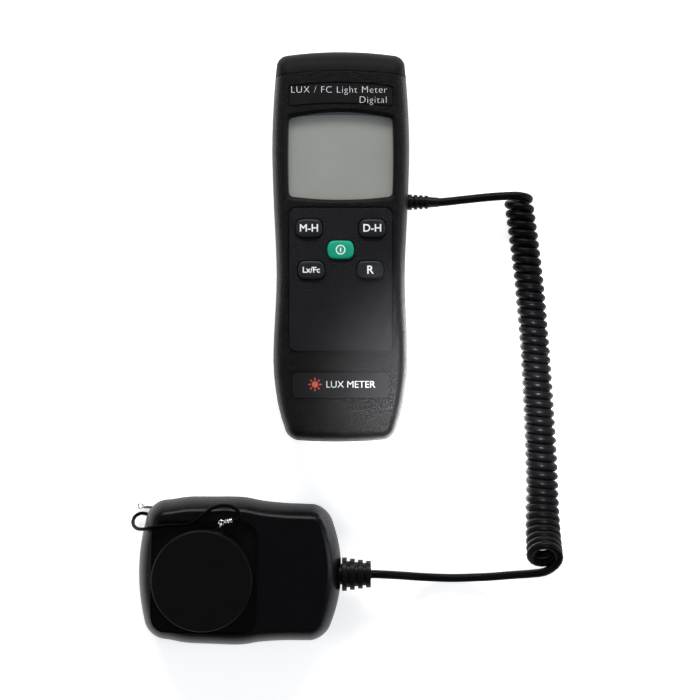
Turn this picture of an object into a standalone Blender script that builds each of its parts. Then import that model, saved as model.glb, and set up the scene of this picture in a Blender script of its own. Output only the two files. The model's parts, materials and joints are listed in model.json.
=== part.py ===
"""Handheld light meter with a remote sensor head on a curly cord.

The meter lies on its back with the display up. X runs across the handset, Y runs along it
towards the display end, and Z points up out of the display. The origin is the centre of the
handset's back. The sensor head lies below the handset with its cap up, and the curly cord
runs down on the right from the handset's side to the sensor head's end.
"""

import math

import bmesh
import bpy
from mathutils import Matrix, Vector

MM = 0.001
GAP = 0.3 * MM  # clearance between neighbouring solids
HALF_GAP = GAP / 2

# Handset case, from its centre: half widths along its length, and (inset, height) of its wall.
HANDSET_HALF = 80.0 * MM
HANDSET_WIDTHS = [
    (-80, 20.8), (-73, 23.55), (-63, 26.1), (-47, 27.75), (-12, 26.4),
    (20, 27.65), (42, 28.2), (65, 27.2), (80, 25.7),
]
HANDSET_DEPTH = 30.0 * MM
HANDSET_PARTING = 15.0 * MM
WALL = 2.0 * MM
FRONT_WALL = [(0.0, 15.0), (0.3, 21.5), (1.2, 26.0), (2.6, 28.8), (4.8, 30.0)]
FRONT_INSIDE = [(2.0, 15.0), (2.4, 21.5), (3.4, 26.0), (5.2, 28.0)]
REAR_WALL = [(0.0, 15.0), (0.5, 8.0), (1.6, 3.2), (3.2, 0.9), (5.2, 0.0)]
REAR_INSIDE = [(2.0, 15.0), (2.6, 8.0), (4.0, 3.8), (6.5, 2.0)]
NOSE_SLOPE = 2.0  # the display end's wall leans back this many times as far as the sides
NOSE_JOINT = 71.0 * MM  # where the end cap meets the shells, on the centre line
NOSE_SAG = 2.4 * MM  # how much lower that joint is at the sides

# Display, labels and keys on the front face.
WINDOW_CENTRE = 36.45 * MM
WINDOW_HALF = (21.5 * MM, 17.8 * MM)
WINDOW_BULGE = (0.4 * MM, 2.2 * MM, 1.2 * MM)
LENS_EDGE = 0.8 * MM  # how far the lens reaches under the shell, past the window
LENS_Z = (26.6 * MM, 27.7 * MM)
FRAME_Z = (23.9 * MM, 26.3 * MM)
LCD_Z = (25.0 * MM, 26.3 * MM)
LABEL_DEPTH = 0.6 * MM
LABEL_THICK = 0.3 * MM
KEYPAD_CENTRE = (0.0, -13.7 * MM)
KEYPAD_HALF = (21.4 * MM, 29.6 * MM)
BADGE_CENTRE = (0.0, -56.5 * MM)
BADGE_HALF = (20.2 * MM, 5.75 * MM)
KEY_HALF = (5.45 * MM, 3.75 * MM)
KEY_TOP = 31.3 * MM
KEY_FLANGE_Z = (26.9 * MM, 27.7 * MM)
KEY_PLUNGER_Z = 24.9 * MM
KEYS = {
    "key_max_hold": (-12.8, 7.0),
    "key_data_hold": (12.8, 7.0),
    "key_power": (0.0, -1.7),
    "key_unit": (-11.9, -9.9),
    "key_range": (11.9, -9.9),
}

# Inside the handset.
BOARD_Z = (22.0 * MM, 23.6 * MM)
BOARD_Y = (-40.0 * MM, 57.5 * MM)
BOARD_HALF_WIDTH = 22.4 * MM
MAT_Z = (23.9 * MM, 25.5 * MM)
BOARD_SCREWS = [(-21.0, 13.6), (21.0, 13.6), (-20.2, -36.0), (20.2, -36.0)]
CASE_SCREWS = [(-20.5, 62.3), (20.5, 62.3), (-19.4, -62.0), (19.4, -62.0)]
PILOT_RADIUS = 1.25 * MM
SHANK_RADIUS = 0.95 * MM
BATTERY_HALF_WIDTH = 13.1 * MM
BATTERY_Y = (-70.2 * MM, -24.2 * MM)
BATTERY_Z = (2.6 * MM, 19.8 * MM)
DOOR_HALF_WIDTH = 15.5 * MM
DOOR_Z = (0.25 * MM, 2.0 * MM)
DOOR_TOP = -18.0 * MM

# The cord leaves the handset's right side here.
CORD_RADIUS = 1.75 * MM
CORD_EXIT_Y = 18.5 * MM
HANDSET_GLAND_END = 40.3 * MM

# Sensor head, from its own centre; its length runs along X.
HEAD_CENTRE = Vector((-41.5 * MM, -133.25 * MM))
HEAD_TURN = Matrix.Rotation(-0.02, 2)  # how the head lies, seen from above
HEAD_HALF = 41.7 * MM
HEAD_WIDTHS = [
    (-42, 28.2), (-30, 28.8), (-22, 30.1), (-12, 30.4), (1, 30.45), (9, 29.1),
    (18, 28.35), (25, 28.2), (32, 28.1), (42, 27.8),
]
HEAD_FRONT_WALL = [(0.0, 12.0), (0.9, 16.0), (2.4, 20.0), (4.1, 22.7), (6.2, 24.0)]
HEAD_FRONT_INSIDE = [(2.0, 12.0), (3.0, 16.5), (6.2, 19.5)]
HEAD_REAR_WALL = [(0.0, 12.0), (0.5, 6.5), (2.0, 1.9), (5.0, 0.0)]
HEAD_REAR_INSIDE = [(2.0, 12.0), (2.6, 6.5), (5.8, 2.0)]
HEAD_PARTING = 12.0 * MM
HEAD_GLAND_Y = -134.7 * MM
RECESS_CENTRE = (-55.7 * MM, -134.9 * MM)
RECESS_HALF = (21.7 * MM, 23.0 * MM)
RECESS_FLOOR = 21.5 * MM
HEAD_INNER_TOP = 19.5 * MM
EYE_CENTRE = Vector((-56.3 * MM, -135.9 * MM, 0.0))  # axis of the dome and its cap
COLLAR_RADIUS = 18.9 * MM
COLLAR_BORE = 16.3 * MM
COLLAR_TOP = 24.7 * MM
CAP_RADIUS = 20.6 * MM
CAP_BORE = 19.3 * MM
CAP_Z = (21.8 * MM, 31.0 * MM)
CAP_TOP_THICK = 1.3 * MM
LUG_ANGLE = math.radians(71.5)
LUG_Z = (24.0 * MM, 25.0 * MM)
LUG_HOLE = CAP_RADIUS + 1.3 * MM  # from the cap's axis
HEAD_SCREWS = [(-76.2, -122.0), (-76.2, -146.0), (-13.0, -115.0), (-13.0, -153.0)]
TETHER_RADIUS = 0.75 * MM
TETHER_POST = Vector((-70.6 * MM, -110.9 * MM, 0.0))
TETHER_POST_RADIUS = 1.5 * MM

# The curly part, from the handset's end to the sensor head's end: (x, y, outer radius). It lies
# on the floor as far as the last point, and then rises and turns its open end upwards.
COIL = [
    (74.0, 17.4, 6.2), (77.6, -10.0, 6.2), (80.2, -38.0, 6.35), (82.0, -66.0, 6.6), (83.1, -88.0, 6.8),
    (83.5, -100.2, 6.9),
]
COIL_RISE = math.radians(55)
COIL_RISE_RADIUS = 33.0
COIL_END_RADIUS = 7.6
LEAD_FROM_HANDSET = [
    (40.6, 18.5, 15.0), (44.0, 18.8, 14.6), (52.0, 19.8, 12.9), (62.0, 20.9, 11.3),
    (69.5, 21.4, 10.8), (77.0, 21.5, 10.6),
]
LEAD_TO_SENSOR = [
    (12.9, -134.7, 12.0), (16.0, -134.8, 11.6), (24.0, -135.5, 8.6), (33.0, -136.5, 4.6),
    (42.0, -137.1, 2.4), (48.0, -137.2, 2.2), (55.0, -136.9, 3.2), (62.0, -136.4, 5.2),
    (70.5, -135.4, 8.6), (75.0, -134.9, 10.6), (78.4, -134.5, 12.1),
]
TETHER = [
    (-77.7, -107.6, 1.9), (-76.3, -107.8, 3.2), (-74.6, -108.2, 4.8), (-72.6, -108.5, 5.3),
    (-70.4, -108.2, 5.5), (-68.4, -109.2, 5.5), (-67.9, -111.2, 5.5), (-69.1, -113.2, 5.4),
    (-71.4, -113.6, 5.3), (-74.2, -112.6, 5.2), (-77.4, -111.4, 4.9), (-80.4, -110.5, 3.8),
    (-83.2, -110.2, 2.4), (-85.4, -111.3, 3.4), (-86.1, -113.0, 7.0), (-85.4, -114.6, 12.0),
    (-83.4, -115.5, 17.2), (-80.6, -115.4, 21.8), (-77.6, -114.7, 24.5), (-74.4, -114.0, 24.4),
    (-70.8, -113.7, 23.3), (-66.8, -113.6, 22.8), (-62.9, -113.3, 23.8), (-59.4, -112.0, 25.3),
    (-55.8, -109.2, 25.6), (-52.4, -106.7, 25.6), (-48.8, -105.5, 25.4), (-45.0, -105.7, 25.4),
    (-42.0, -107.5, 25.5), (-41.0, -109.8, 25.7), (-42.0, -111.2, 25.8), (-43.6, -111.65, 25.65),
]
FERRULE_RADIUS = 1.1 * MM
HOUSING_FERRULE = (Vector((-82.6, -107.3, 1.45)) * MM, Vector((-78.5, -107.55, 1.5)) * MM)
CAP_FERRULE = (Vector((-47.7, -112.45, 25.15)) * MM, Vector((-43.9, -111.7, 25.6)) * MM)
EYE_RADII = (1.0 * MM, 0.3 * MM)

SMALL_ROUND = 10  # sides of a small round piece
LARGE_ROUND = 36  # sides of a large one


# ---------------------------------------------------------------- materials and meshes


def material(name, colour, roughness, metallic=0.0, alpha=1.0):
    """A Principled material, made once for each name."""
    found = bpy.data.materials.get(name)
    if found:
        return found
    made = bpy.data.materials.new(name)
    made.use_nodes = True
    shader = made.node_tree.nodes["Principled BSDF"]
    shader.inputs["Base Color"].default_value = (*colour, 1.0)
    shader.inputs["Roughness"].default_value = roughness
    shader.inputs["Metallic"].default_value = metallic
    shader.inputs["Alpha"].default_value = alpha
    return made


FINISHES = {
    "case_black": ((0.020, 0.020, 0.021), 0.5, 0.0, 1.0),
    "label_black": ((0.014, 0.014, 0.015), 0.42, 0.0, 1.0),
    "key_grey": ((0.045, 0.047, 0.052), 0.55, 0.0, 1.0),
    "key_green": ((0.010, 0.300, 0.165), 0.45, 0.0, 1.0),
    "rubber_black": ((0.016, 0.016, 0.017), 0.6, 0.0, 1.0),
    "cord_black": ((0.018, 0.018, 0.019), 0.38, 0.0, 1.0),
    "clear_window": ((0.80, 0.83, 0.80), 0.05, 0.0, 0.25),
    "lcd_grey": ((0.300, 0.320, 0.290), 0.25, 0.0, 1.0),
    "board_green": ((0.020, 0.150, 0.060), 0.5, 0.0, 1.0),
    "chip_black": ((0.020, 0.020, 0.020), 0.4, 0.0, 1.0),
    "steel": ((0.620, 0.610, 0.590), 0.25, 1.0, 1.0),
    "dome_white": ((0.880, 0.880, 0.860), 0.4, 0.0, 1.0),
    "filter_green": ((0.200, 0.550, 0.350), 0.05, 0.0, 0.5),
    "battery_steel": ((0.120, 0.120, 0.130), 0.35, 0.6, 1.0),
    "foam_grey": ((0.080, 0.080, 0.085), 0.9, 0.0, 1.0),
    "lead_red": ((0.450, 0.020, 0.020), 0.45, 0.0, 1.0),
    "connector_white": ((0.750, 0.740, 0.700), 0.45, 0.0, 1.0),
}


def finished(obj, finish):
    """Gives an object its material and smooth shading between near-flat faces."""
    colour, roughness, metallic, alpha = FINISHES[finish]
    obj.data.materials.clear()
    obj.data.materials.append(material(finish, colour, roughness, metallic, alpha))
    if obj.type == "MESH":
        obj.data.shade_smooth()
        obj.data.set_sharp_from_angle(angle=math.radians(35))
    return obj


def object_from(bm, name):
    """Closes a bmesh into a new object in the scene, with its faces pointing out."""
    bmesh.ops.recalc_face_normals(bm, faces=bm.faces)
    mesh = bpy.data.meshes.new(name)
    bm.to_mesh(mesh)
    bm.free()
    obj = bpy.data.objects.new(name, mesh)
    bpy.context.scene.collection.objects.link(obj)
    return obj


def loft(name, rings):
    """A closed solid through rings of points that all have the same number of points."""
    bm = bmesh.new()
    loops = [[bm.verts.new(p) for p in ring] for ring in rings]
    count = len(loops[0])
    for lower, upper in zip(loops, loops[1:]):
        for i in range(count):
            j = (i + 1) % count
            bm.faces.new((lower[i], lower[j], upper[j], upper[i]))
    bm.faces.new(reversed(loops[0]))
    bm.faces.new(loops[-1])
    return object_from(bm, name)


def prism(name, outline, low, high):
    """A flat outline of (x, y) points, extruded from one height to another."""
    return loft(name, [[(x, y, z) for x, y in outline] for z in (low, high)])


def box(name, low, high):
    """An axis-aligned box between two corners."""
    outline = [(low[0], low[1]), (high[0], low[1]), (high[0], high[1]), (low[0], high[1])]
    return prism(name, outline, low[2], high[2])


def circle(centre, radius, sides):
    """Points of a circle in XY."""
    turns = [2 * math.pi * i / sides for i in range(sides)]
    return [(centre[0] + radius * math.cos(a), centre[1] + radius * math.sin(a)) for a in turns]


def turned(name, profile, origin=(0, 0, 0), axis=(0, 0, 1), sides=SMALL_ROUND):
    """A solid of revolution: profile is (radius, height) along the axis, first to last."""
    frame = Vector(axis).normalized().to_track_quat("Z", "Y").to_matrix()
    start = Vector(origin)
    rings = []
    for radius, height in profile:
        ring = [Vector((x, y, height)) for x, y in circle((0, 0), radius, sides)]
        rings.append([start + frame @ p for p in ring])
    return loft(name, rings)


def torus(name, centre, normal, ring_radius, wire_radius, sides=14, wire_sides=6):
    """A closed round ring of round wire."""
    frame = Vector(normal).normalized().to_track_quat("Z", "Y").to_matrix()
    bm = bmesh.new()
    loops = []
    for i in range(sides):
        a = 2 * math.pi * i / sides
        out = Vector((math.cos(a), math.sin(a), 0))
        loop = []
        for k in range(wire_sides):
            b = 2 * math.pi * k / wire_sides
            local = out * (ring_radius + wire_radius * math.cos(b))
            local.z = wire_radius * math.sin(b)
            loop.append(bm.verts.new(Vector(centre) + frame @ local))
        loops.append(loop)
    for loop, following in zip(loops, loops[1:] + loops[:1]):
        for k in range(wire_sides):
            n = (k + 1) % wire_sides
            bm.faces.new((loop[k], following[k], following[n], loop[n]))
    return object_from(bm, name)


def combine(target, tool, operation):
    """Applies one Boolean to the target and removes the tool."""
    modifier = target.modifiers.new("combine", "BOOLEAN")
    modifier.operation = operation
    modifier.solver = "EXACT"
    modifier.object = tool
    bpy.context.view_layer.update()
    graph = bpy.context.evaluated_depsgraph_get()
    result = bpy.data.meshes.new_from_object(target.evaluated_get(graph))
    target.modifiers.clear()
    target.data = result
    bpy.data.objects.remove(tool)
    return target


def cut(target, *tools):
    for tool in tools:
        combine(target, tool, "DIFFERENCE")
    return target


def add(target, *tools):
    for tool in tools:
        combine(target, tool, "UNION")
    return target


def keep_inside(target, tool):
    return combine(target, tool, "INTERSECT")


# ---------------------------------------------------------------- outlines


def smooth_table(u, table):
    """Cubic interpolation through (place, value) pairs, with slopes from the neighbours."""
    last = len(table) - 1
    k = next((i for i in range(last) if u <= table[i + 1][0]), last - 1)
    slope = []
    for i in (k, k + 1):
        before, after = table[max(i - 1, 0)], table[min(i + 1, last)]
        slope.append((after[1] - before[1]) / (after[0] - before[0]))
    (u0, v0), (u1, v1) = table[k], table[k + 1]
    span = u1 - u0
    t = min(max((u - u0) / span, 0.0), 1.0)
    return (
        v0 * (1 + 2 * t) * (1 - t) ** 2
        + span * slope[0] * t * (1 - t) ** 2
        + v1 * t * t * (3 - 2 * t)
        - span * slope[1] * t * t * (1 - t)
    )


def rounded_corner(a, corner, b, steps):
    """Points from a to b that round off a corner, without a and b themselves."""
    points = []
    for i in range(1, steps):
        t = i / steps
        ca, cb = a + (corner - a) * 0.56, b + (corner - b) * 0.56
        s = 1 - t
        points.append(s**3 * a + 3 * s * s * t * ca + 3 * s * t * t * cb + t**3 * b)
    return points


def case_outline(half_length, widths, inset, ends, side_steps=8, corner_steps=4, end_steps=3):
    """Right half-outline, then mirrored: a case with waisted sides, bowed ends and round corners.

    ends holds, for the low end and the high end, (inset factor, bow, bow width, corner size).
    Returns (across, along) pairs, anticlockwise when across is x and along is y.
    """

    def end_line(across, which):
        factor, bow, bow_width, _ = ends[which]
        far = half_length - inset * factor - bow * (across / bow_width) ** 2
        return Vector((across, far if which else -far))

    def side(along):
        return Vector((smooth_table(along / MM, widths) * MM - inset, along))

    def corner_of(which):
        reach = half_length - inset * ends[which][0]
        guess = side(reach if which else -reach).x
        return end_line(guess, which)

    low_corner, high_corner = corner_of(0), corner_of(1)
    sizes = [max(ends[k][3] - inset * 0.6, 1.6 * MM) for k in (0, 1)]
    low_side = side(low_corner.y + sizes[0])
    high_side = side(high_corner.y - sizes[1])
    low_end = end_line(low_corner.x - sizes[0], 0)
    high_end = end_line(high_corner.x - sizes[1], 1)
    right = [end_line(low_end.x * i / end_steps, 0) for i in range(end_steps)]
    right += [low_end] + rounded_corner(low_end, low_corner, low_side, corner_steps)
    for i in range(side_steps + 1):
        along = low_side.y + (high_side.y - low_side.y) * i / side_steps
        right.append(side(along))
    right += rounded_corner(high_side, high_corner, high_end, corner_steps)
    right += [end_line(high_end.x * (end_steps - i) / end_steps, 1) for i in range(end_steps + 1)]
    left = [Vector((-p.x, p.y)) for p in reversed(right[1:-1])]
    return [(p.x, p.y) for p in right + left]


def handset_ring(inset, z, extra=0.0):
    """One ring of the handset's wall: inset and z in millimetres, extra more inset in metres."""
    ends = [
        (1.0, 0.6 * MM, 17 * MM, 3.5 * MM),
        (NOSE_SLOPE if z > 15 else 1.0, 1.65 * MM, 23 * MM, 3.4 * MM),
    ]
    outline = case_outline(HANDSET_HALF, HANDSET_WIDTHS, inset * MM + extra, ends)
    return [(x, y, z * MM) for x, y in outline]


def head_ring(inset, z, extra=0.0):
    """One ring of the sensor head's wall, in place."""
    ends = [(1.0, 2.6 * MM, 21 * MM, 6.0 * MM), (1.0, 2.85 * MM, 18 * MM, 5.6 * MM)]
    outline = case_outline(HEAD_HALF, HEAD_WIDTHS, inset * MM + extra, ends)
    spots = [HEAD_CENTRE + HEAD_TURN @ Vector((along, -across)) for across, along in outline]
    return [(spot.x, spot.y, z * MM) for spot in spots]


def shell(name, ring, inside, outside, parting_step):
    """Half a case as one closed wall: up the inside from its face, over the rim, and back outside."""
    low_first = [(inset, z + (parting_step if i == 0 else 0)) for i, (inset, z) in enumerate(inside)]
    out = [(inset, z + (parting_step if i == 0 else 0)) for i, (inset, z) in enumerate(outside)]
    return loft(name, [ring(*s) for s in reversed(low_first)] + [ring(*s) for s in out])


def bowed_rectangle(centre, half, bulge, corner, steps=4):
    """A rounded rectangle with bowed sides; bulge is for the sides, the top and the bottom."""
    hx, hy = half

    def quarter(bulge_y):
        a = Vector((hx - bulge[0], hy - bulge_y - corner))
        b = Vector((hx - bulge[0] - corner, hy - bulge_y))
        points = [(hx, 0.0)]
        for i in range(1, steps):
            t = i / steps
            points.append((hx - bulge[0] * t * t * 0.8, t * a.y))
        points += [tuple(p) for p in [a, *rounded_corner(a, Vector((a.x, b.y)), b, steps), b]]
        for i in range(1, steps):
            t = 1 - i / steps
            points.append((b.x * t, hy - bulge_y * t * t))
        return points

    upper, lower = quarter(bulge[1]), quarter(bulge[2])
    top = upper + [(0.0, hy)] + [(-x, y) for x, y in reversed(upper[1:])] + [(-hx, 0.0)]
    bottom = [(-x, -y) for x, y in lower[1:]] + [(0.0, -hy)] + [(x, -y) for x, y in reversed(lower[1:])]
    return [(centre[0] + x, centre[1] + y) for x, y in top + bottom]


def rounded_rectangle(centre, half, corner, steps=3):
    """A rectangle with quarter-circle corners, anticlockwise."""
    points = []
    for quadrant in range(4):
        sx, sy = ((1, 1), (-1, 1), (-1, -1), (1, -1))[quadrant]
        middle = (centre[0] + sx * (half[0] - corner), centre[1] + sy * (half[1] - corner))
        for i in range(steps + 1):
            a = math.pi / 2 * (quadrant + i / steps)
            points.append((middle[0] + corner * math.cos(a), middle[1] + corner * math.sin(a)))
    return points


def arched_label(shrink, steps=8):
    """The top label's outline: its long edges arch like the window's upper edge."""
    half, corner = 21.4 * MM - shrink, 1.2 * MM
    high, high_arch = 66.4 * MM - shrink, 1.5 * MM
    low, low_arch = 57.4 * MM + shrink, 1.3 * MM

    def edge(x, level, arch):
        return Vector((x, level - arch * (x / half) ** 2))

    inner = half - corner
    xs = [inner * (1 - 2 * i / steps) for i in range(steps + 1)]
    upper = [edge(x, high, high_arch) for x in xs]
    lower = [edge(-x, low, low_arch) for x in xs]
    down = Vector((0, corner))
    left_high, left_low = edge(-half, high, high_arch), edge(-half, low, low_arch)
    right_high, right_low = edge(half, high, high_arch), edge(half, low, low_arch)
    points = upper + rounded_corner(upper[-1], left_high, left_high - down, 3) + [left_high - down]
    points += [left_low + down] + rounded_corner(left_low + down, left_low, lower[0], 3) + lower
    points += rounded_corner(lower[-1], right_low, right_low + down, 3) + [right_low + down]
    points += [right_high - down] + rounded_corner(right_high - down, right_high, upper[0], 3)
    return [(p.x, p.y) for p in points]


def nose_region(shift):
    """Everything past the line where the end cap meets the shells."""
    xs = [(-34 + 6.8 * i) * MM for i in range(11)]
    edge = [(x, NOSE_JOINT + shift - NOSE_SAG * (x / (28 * MM)) ** 2) for x in xs]
    return edge + [(34 * MM, 95 * MM), (-34 * MM, 95 * MM)]


# ---------------------------------------------------------------- handset


def screw(name, x, y, head, tip):
    """A pan-head screw standing on its head, from the head's underside up to its tip."""
    profile = [
        (1.9 * MM, head - 1.8 * MM), (2.5 * MM, head - 1.2 * MM), (2.5 * MM, head),
        (SHANK_RADIUS, head), (SHANK_RADIUS, tip - 1.0 * MM), (0.3 * MM, tip),
    ]
    body = turned(name, profile, (x * MM, y * MM, 0))
    for angle in (0, math.pi / 2):
        slot = box("slot", (-1.5 * MM, -0.3 * MM, -MM), (1.5 * MM, 0.3 * MM, 0.9 * MM))
        slot.data.transform(
            Matrix.Translation((x * MM, y * MM, head - 1.8 * MM)) @ Matrix.Rotation(angle, 4, "Z")
        )
        cut(body, slot)
    return finished(body, "steel")


def front_shell():
    body = shell("front_shell", handset_ring, FRONT_INSIDE, FRONT_WALL, 0.15)
    cut(body, prism("nose", nose_region(-HALF_GAP), 0, 40 * MM))
    for x, y in CASE_SCREWS:
        boss = turned("boss", [(3.0 * MM, 8.3 * MM), (3.0 * MM, 28.6 * MM)], (x * MM, y * MM, 0))
        add(body, boss)
        cut(body, turned("pilot", [(PILOT_RADIUS, 7 * MM), (PILOT_RADIUS, 20 * MM)], (x * MM, y * MM, 0)))
    for x, y in BOARD_SCREWS:
        add(body, turned("boss", [(2.2 * MM, 23.9 * MM), (2.2 * MM, 28.6 * MM)], (x * MM, y * MM, 0)))
        cut(body, turned("pilot", [(PILOT_RADIUS, 23 * MM), (PILOT_RADIUS, 27.6 * MM)], (x * MM, y * MM, 0)))
    # Window: a straight opening below a lip that slopes outwards to the face.
    steps = [(0.0, 26.0), (0.0, 28.7), (1.3, 30.05), (1.3, 32.0)]
    rings = []
    for grow, z in steps:
        half = (WINDOW_HALF[0] + grow * MM, WINDOW_HALF[1] + grow * MM)
        outline = bowed_rectangle((0, WINDOW_CENTRE), half, WINDOW_BULGE, 2.2 * MM)
        rings.append([(x, y, z * MM) for x, y in outline])
    cut(body, loft("window", rings))
    floor, above = HANDSET_DEPTH - LABEL_DEPTH, HANDSET_DEPTH + MM
    cut(body, prism("label_seat", arched_label(0.0), floor, above))
    cut(body, prism("keypad_seat", rounded_rectangle(KEYPAD_CENTRE, KEYPAD_HALF, 3.6 * MM), floor, above))
    cut(body, prism("badge_seat", rounded_rectangle(BADGE_CENTRE, BADGE_HALF, 2.2 * MM), floor, above))
    for place in KEYS.values():
        cut(body, prism("key_hole", key_outline(place, GAP), 26 * MM, above))
    cut(body, gland_hole())
    return finished(body, "case_black")


def gland_hole():
    """The round hole in the handset's right side, half in each shell."""
    radius = 3.6 * MM
    start = (20 * MM, CORD_EXIT_Y, HANDSET_PARTING)
    return turned("gland_hole", [(radius, 0), (radius, 15 * MM)], start, (1, 0, 0), 16)


def door_channel():
    """The channel that the battery door slides in, open at the handset's lower end."""
    clear = DOOR_HALF_WIDTH + GAP
    channel = box("channel", (-clear, -90 * MM, -MM), (clear, DOOR_TOP + GAP, DOOR_Z[1] + GAP))
    groove = box(
        "groove", (-clear - 0.6 * MM, -90 * MM, 0.6 * MM), (clear + 0.6 * MM, DOOR_TOP + GAP, 1.8 * MM)
    )
    return add(channel, groove)


def rear_shell():
    body = shell("rear_shell", handset_ring, REAR_INSIDE, REAR_WALL, -0.15)
    cut(body, prism("nose", nose_region(-HALF_GAP), -MM, 40 * MM))
    for side in (-1, 1):
        inner, outer = sorted((side * 14.2 * MM, side * 16.0 * MM))
        add(body, box("bay_wall", (inner, -73 * MM, 1.0 * MM), (outer, -16 * MM, 13 * MM)))
    add(body, box("bay_end", (-15 * MM, -17.5 * MM, 1.0 * MM), (15 * MM, -16 * MM, 11 * MM)))
    for x, y in CASE_SCREWS:
        place = (x * MM, y * MM, 0)
        add(body, turned("boss", [(3.6 * MM, 1.9 * MM), (3.6 * MM, 8.0 * MM)], place))
        cut(body, turned("counterbore", [(2.9 * MM, -MM), (2.9 * MM, 6.0 * MM)], place))
        cut(body, turned("clearance", [(1.5 * MM, 5 * MM), (1.5 * MM, 9 * MM)], place))
    cut(body, door_channel())
    cut(body, gland_hole())
    return finished(body, "case_black")


def top_end_cap():
    """The sloping end piece, with a lip that reaches inside both shells."""
    whole = [handset_ring(*s) for s in reversed(REAR_WALL)] + [handset_ring(*s) for s in FRONT_WALL[1:]]
    body = loft("top_end_cap", whole)
    keep_inside(body, prism("region", nose_region(HALF_GAP), -MM, 40 * MM))
    hollow = [(4.4, 4.0), (3.0, 9.0), (2.6, 15.0), (3.0, 20.0), (3.9, 24.5), (5.2, 26.8)]
    cut(body, loft("hollow", [handset_ring(*s) for s in hollow]))
    outer = [(5.4, 3.4), (3.4, 6.0), (2.4, 15.0), (2.8, 21.0), (4.6, 26.2)]
    lip = loft("lip", [handset_ring(*s) for s in outer])
    cut(lip, loft("lip_bore", [handset_ring(*s, extra=1.3 * MM) for s in outer]))
    band = box("band", (-40 * MM, 65.9 * MM, 0), (40 * MM, 73.5 * MM, 40 * MM))
    keep_inside(lip, band)
    add(body, lip)
    return finished(body, "case_black")


def key_outline(place, grow):
    """A key's outline: a short rectangle with bowed ends and wide corners."""
    centre = (place[0] * MM, place[1] * MM)
    half = (KEY_HALF[0] + grow, KEY_HALF[1] + grow)
    corner = min(2.4 * MM, half[1] - 0.35 * MM)
    return bowed_rectangle(centre, half, (0.25 * MM, 0.12 * MM, 0.12 * MM), corner, 2)


def key(name, place):
    """A key cap with a rounded top, a flange under the shell and a plunger over the board."""
    steps = [
        (-1.4, KEY_PLUNGER_Z), (-1.4, KEY_FLANGE_Z[0]), (0.8, KEY_FLANGE_Z[0]),
        (0.8, KEY_FLANGE_Z[1]), (0.0, KEY_FLANGE_Z[1]), (0.0, KEY_TOP - 0.6 * MM),
        (-0.25, KEY_TOP - 0.2 * MM), (-0.8, KEY_TOP),
    ]
    body = loft(name, [[(x, y, z) for x, y in key_outline(place, grow * MM)] for grow, z in steps])
    return finished(body, "key_green" if name == "key_power" else "key_grey")


def labels():
    high = HANDSET_DEPTH
    low = high - LABEL_THICK
    finished(prism("top_label", arched_label(GAP), low, high), "label_black")
    half = (KEYPAD_HALF[0] - GAP, KEYPAD_HALF[1] - GAP)
    overlay = prism("keypad_overlay", rounded_rectangle(KEYPAD_CENTRE, half, 3.3 * MM), low, high)
    for place in KEYS.values():
        cut(overlay, prism("key_hole", key_outline(place, GAP), low - MM, high + MM))
    finished(overlay, "label_black")
    half = (BADGE_HALF[0] - GAP, BADGE_HALF[1] - GAP)
    finished(prism("badge_plate", rounded_rectangle(BADGE_CENTRE, half, 1.9 * MM), low, high), "label_black")


def display():
    centre = (0, WINDOW_CENTRE)

    def plate(grow, corner=2.2):
        half = (WINDOW_HALF[0] + grow * MM, WINDOW_HALF[1] + grow * MM)
        return bowed_rectangle(centre, half, WINDOW_BULGE, corner * MM)

    finished(prism("display_window", plate(LENS_EDGE / MM), *LENS_Z), "clear_window")
    frame = prism("display_frame", rounded_rectangle(centre, (22.9 * MM, 19.5 * MM), 1.5 * MM), *FRAME_Z)
    glass_half = (21.3 * MM, 17.9 * MM)
    opening = (glass_half[0] + GAP, glass_half[1] + GAP)
    cut(frame, prism("opening", rounded_rectangle(centre, opening, 0.5 * MM, 2), 20 * MM, 30 * MM))
    finished(frame, "case_black")
    finished(prism("lcd_panel", rounded_rectangle(centre, glass_half, 0.4 * MM, 2), *LCD_Z), "lcd_grey")
    for name, y in (("upper_contact_strip", 52.9), ("lower_contact_strip", 20.0)):
        strip = box(name, (-19 * MM, (y - 1.0) * MM, FRAME_Z[0]), (19 * MM, (y + 1.0) * MM, 24.7 * MM))
        finished(strip, "foam_grey")


def electronics():
    board = box(
        "main_board", (-BOARD_HALF_WIDTH, BOARD_Y[0], BOARD_Z[0]), (BOARD_HALF_WIDTH, BOARD_Y[1], BOARD_Z[1])
    )
    for x, y in BOARD_SCREWS:
        cut(board, turned("hole", [(1.3 * MM, 20 * MM), (1.3 * MM, 25 * MM)], (x * MM, y * MM, 0)))
    finished(board, "board_green")
    under = BOARD_Z[0] - GAP
    chip_outline = rounded_rectangle((0, 36 * MM), (7 * MM, 7 * MM), MM, 2)
    finished(prism("controller_chip", chip_outline, under - 1.6 * MM, under), "chip_black")
    crystal = [(1.5 * MM, 0), (1.5 * MM, 8 * MM)]
    finished(turned("clock_crystal", crystal, (10 * MM, 27 * MM, under - 1.8 * MM), (0, 1, 0)), "steel")
    can = [(3.1 * MM, under - 7 * MM), (3.1 * MM, under)]
    finished(turned("filter_capacitor", can, (-14 * MM, 44 * MM, 0)), "chip_black")
    header = box("sensor_header", (6 * MM, 14.5 * MM, under - 5 * MM), (12 * MM, 22.5 * MM, under))
    finished(header, "connector_white")
    mat = prism("keypad_mat", rounded_rectangle((0, -1.6 * MM), (18.6 * MM, 13.4 * MM), 2 * MM, 3), *MAT_Z)
    for place in KEYS.values():
        cut(mat, prism("well", key_outline(place, -1.0 * MM), MAT_Z[0] - MM, MAT_Z[1] + MM))
    finished(mat, "foam_grey")


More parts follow.
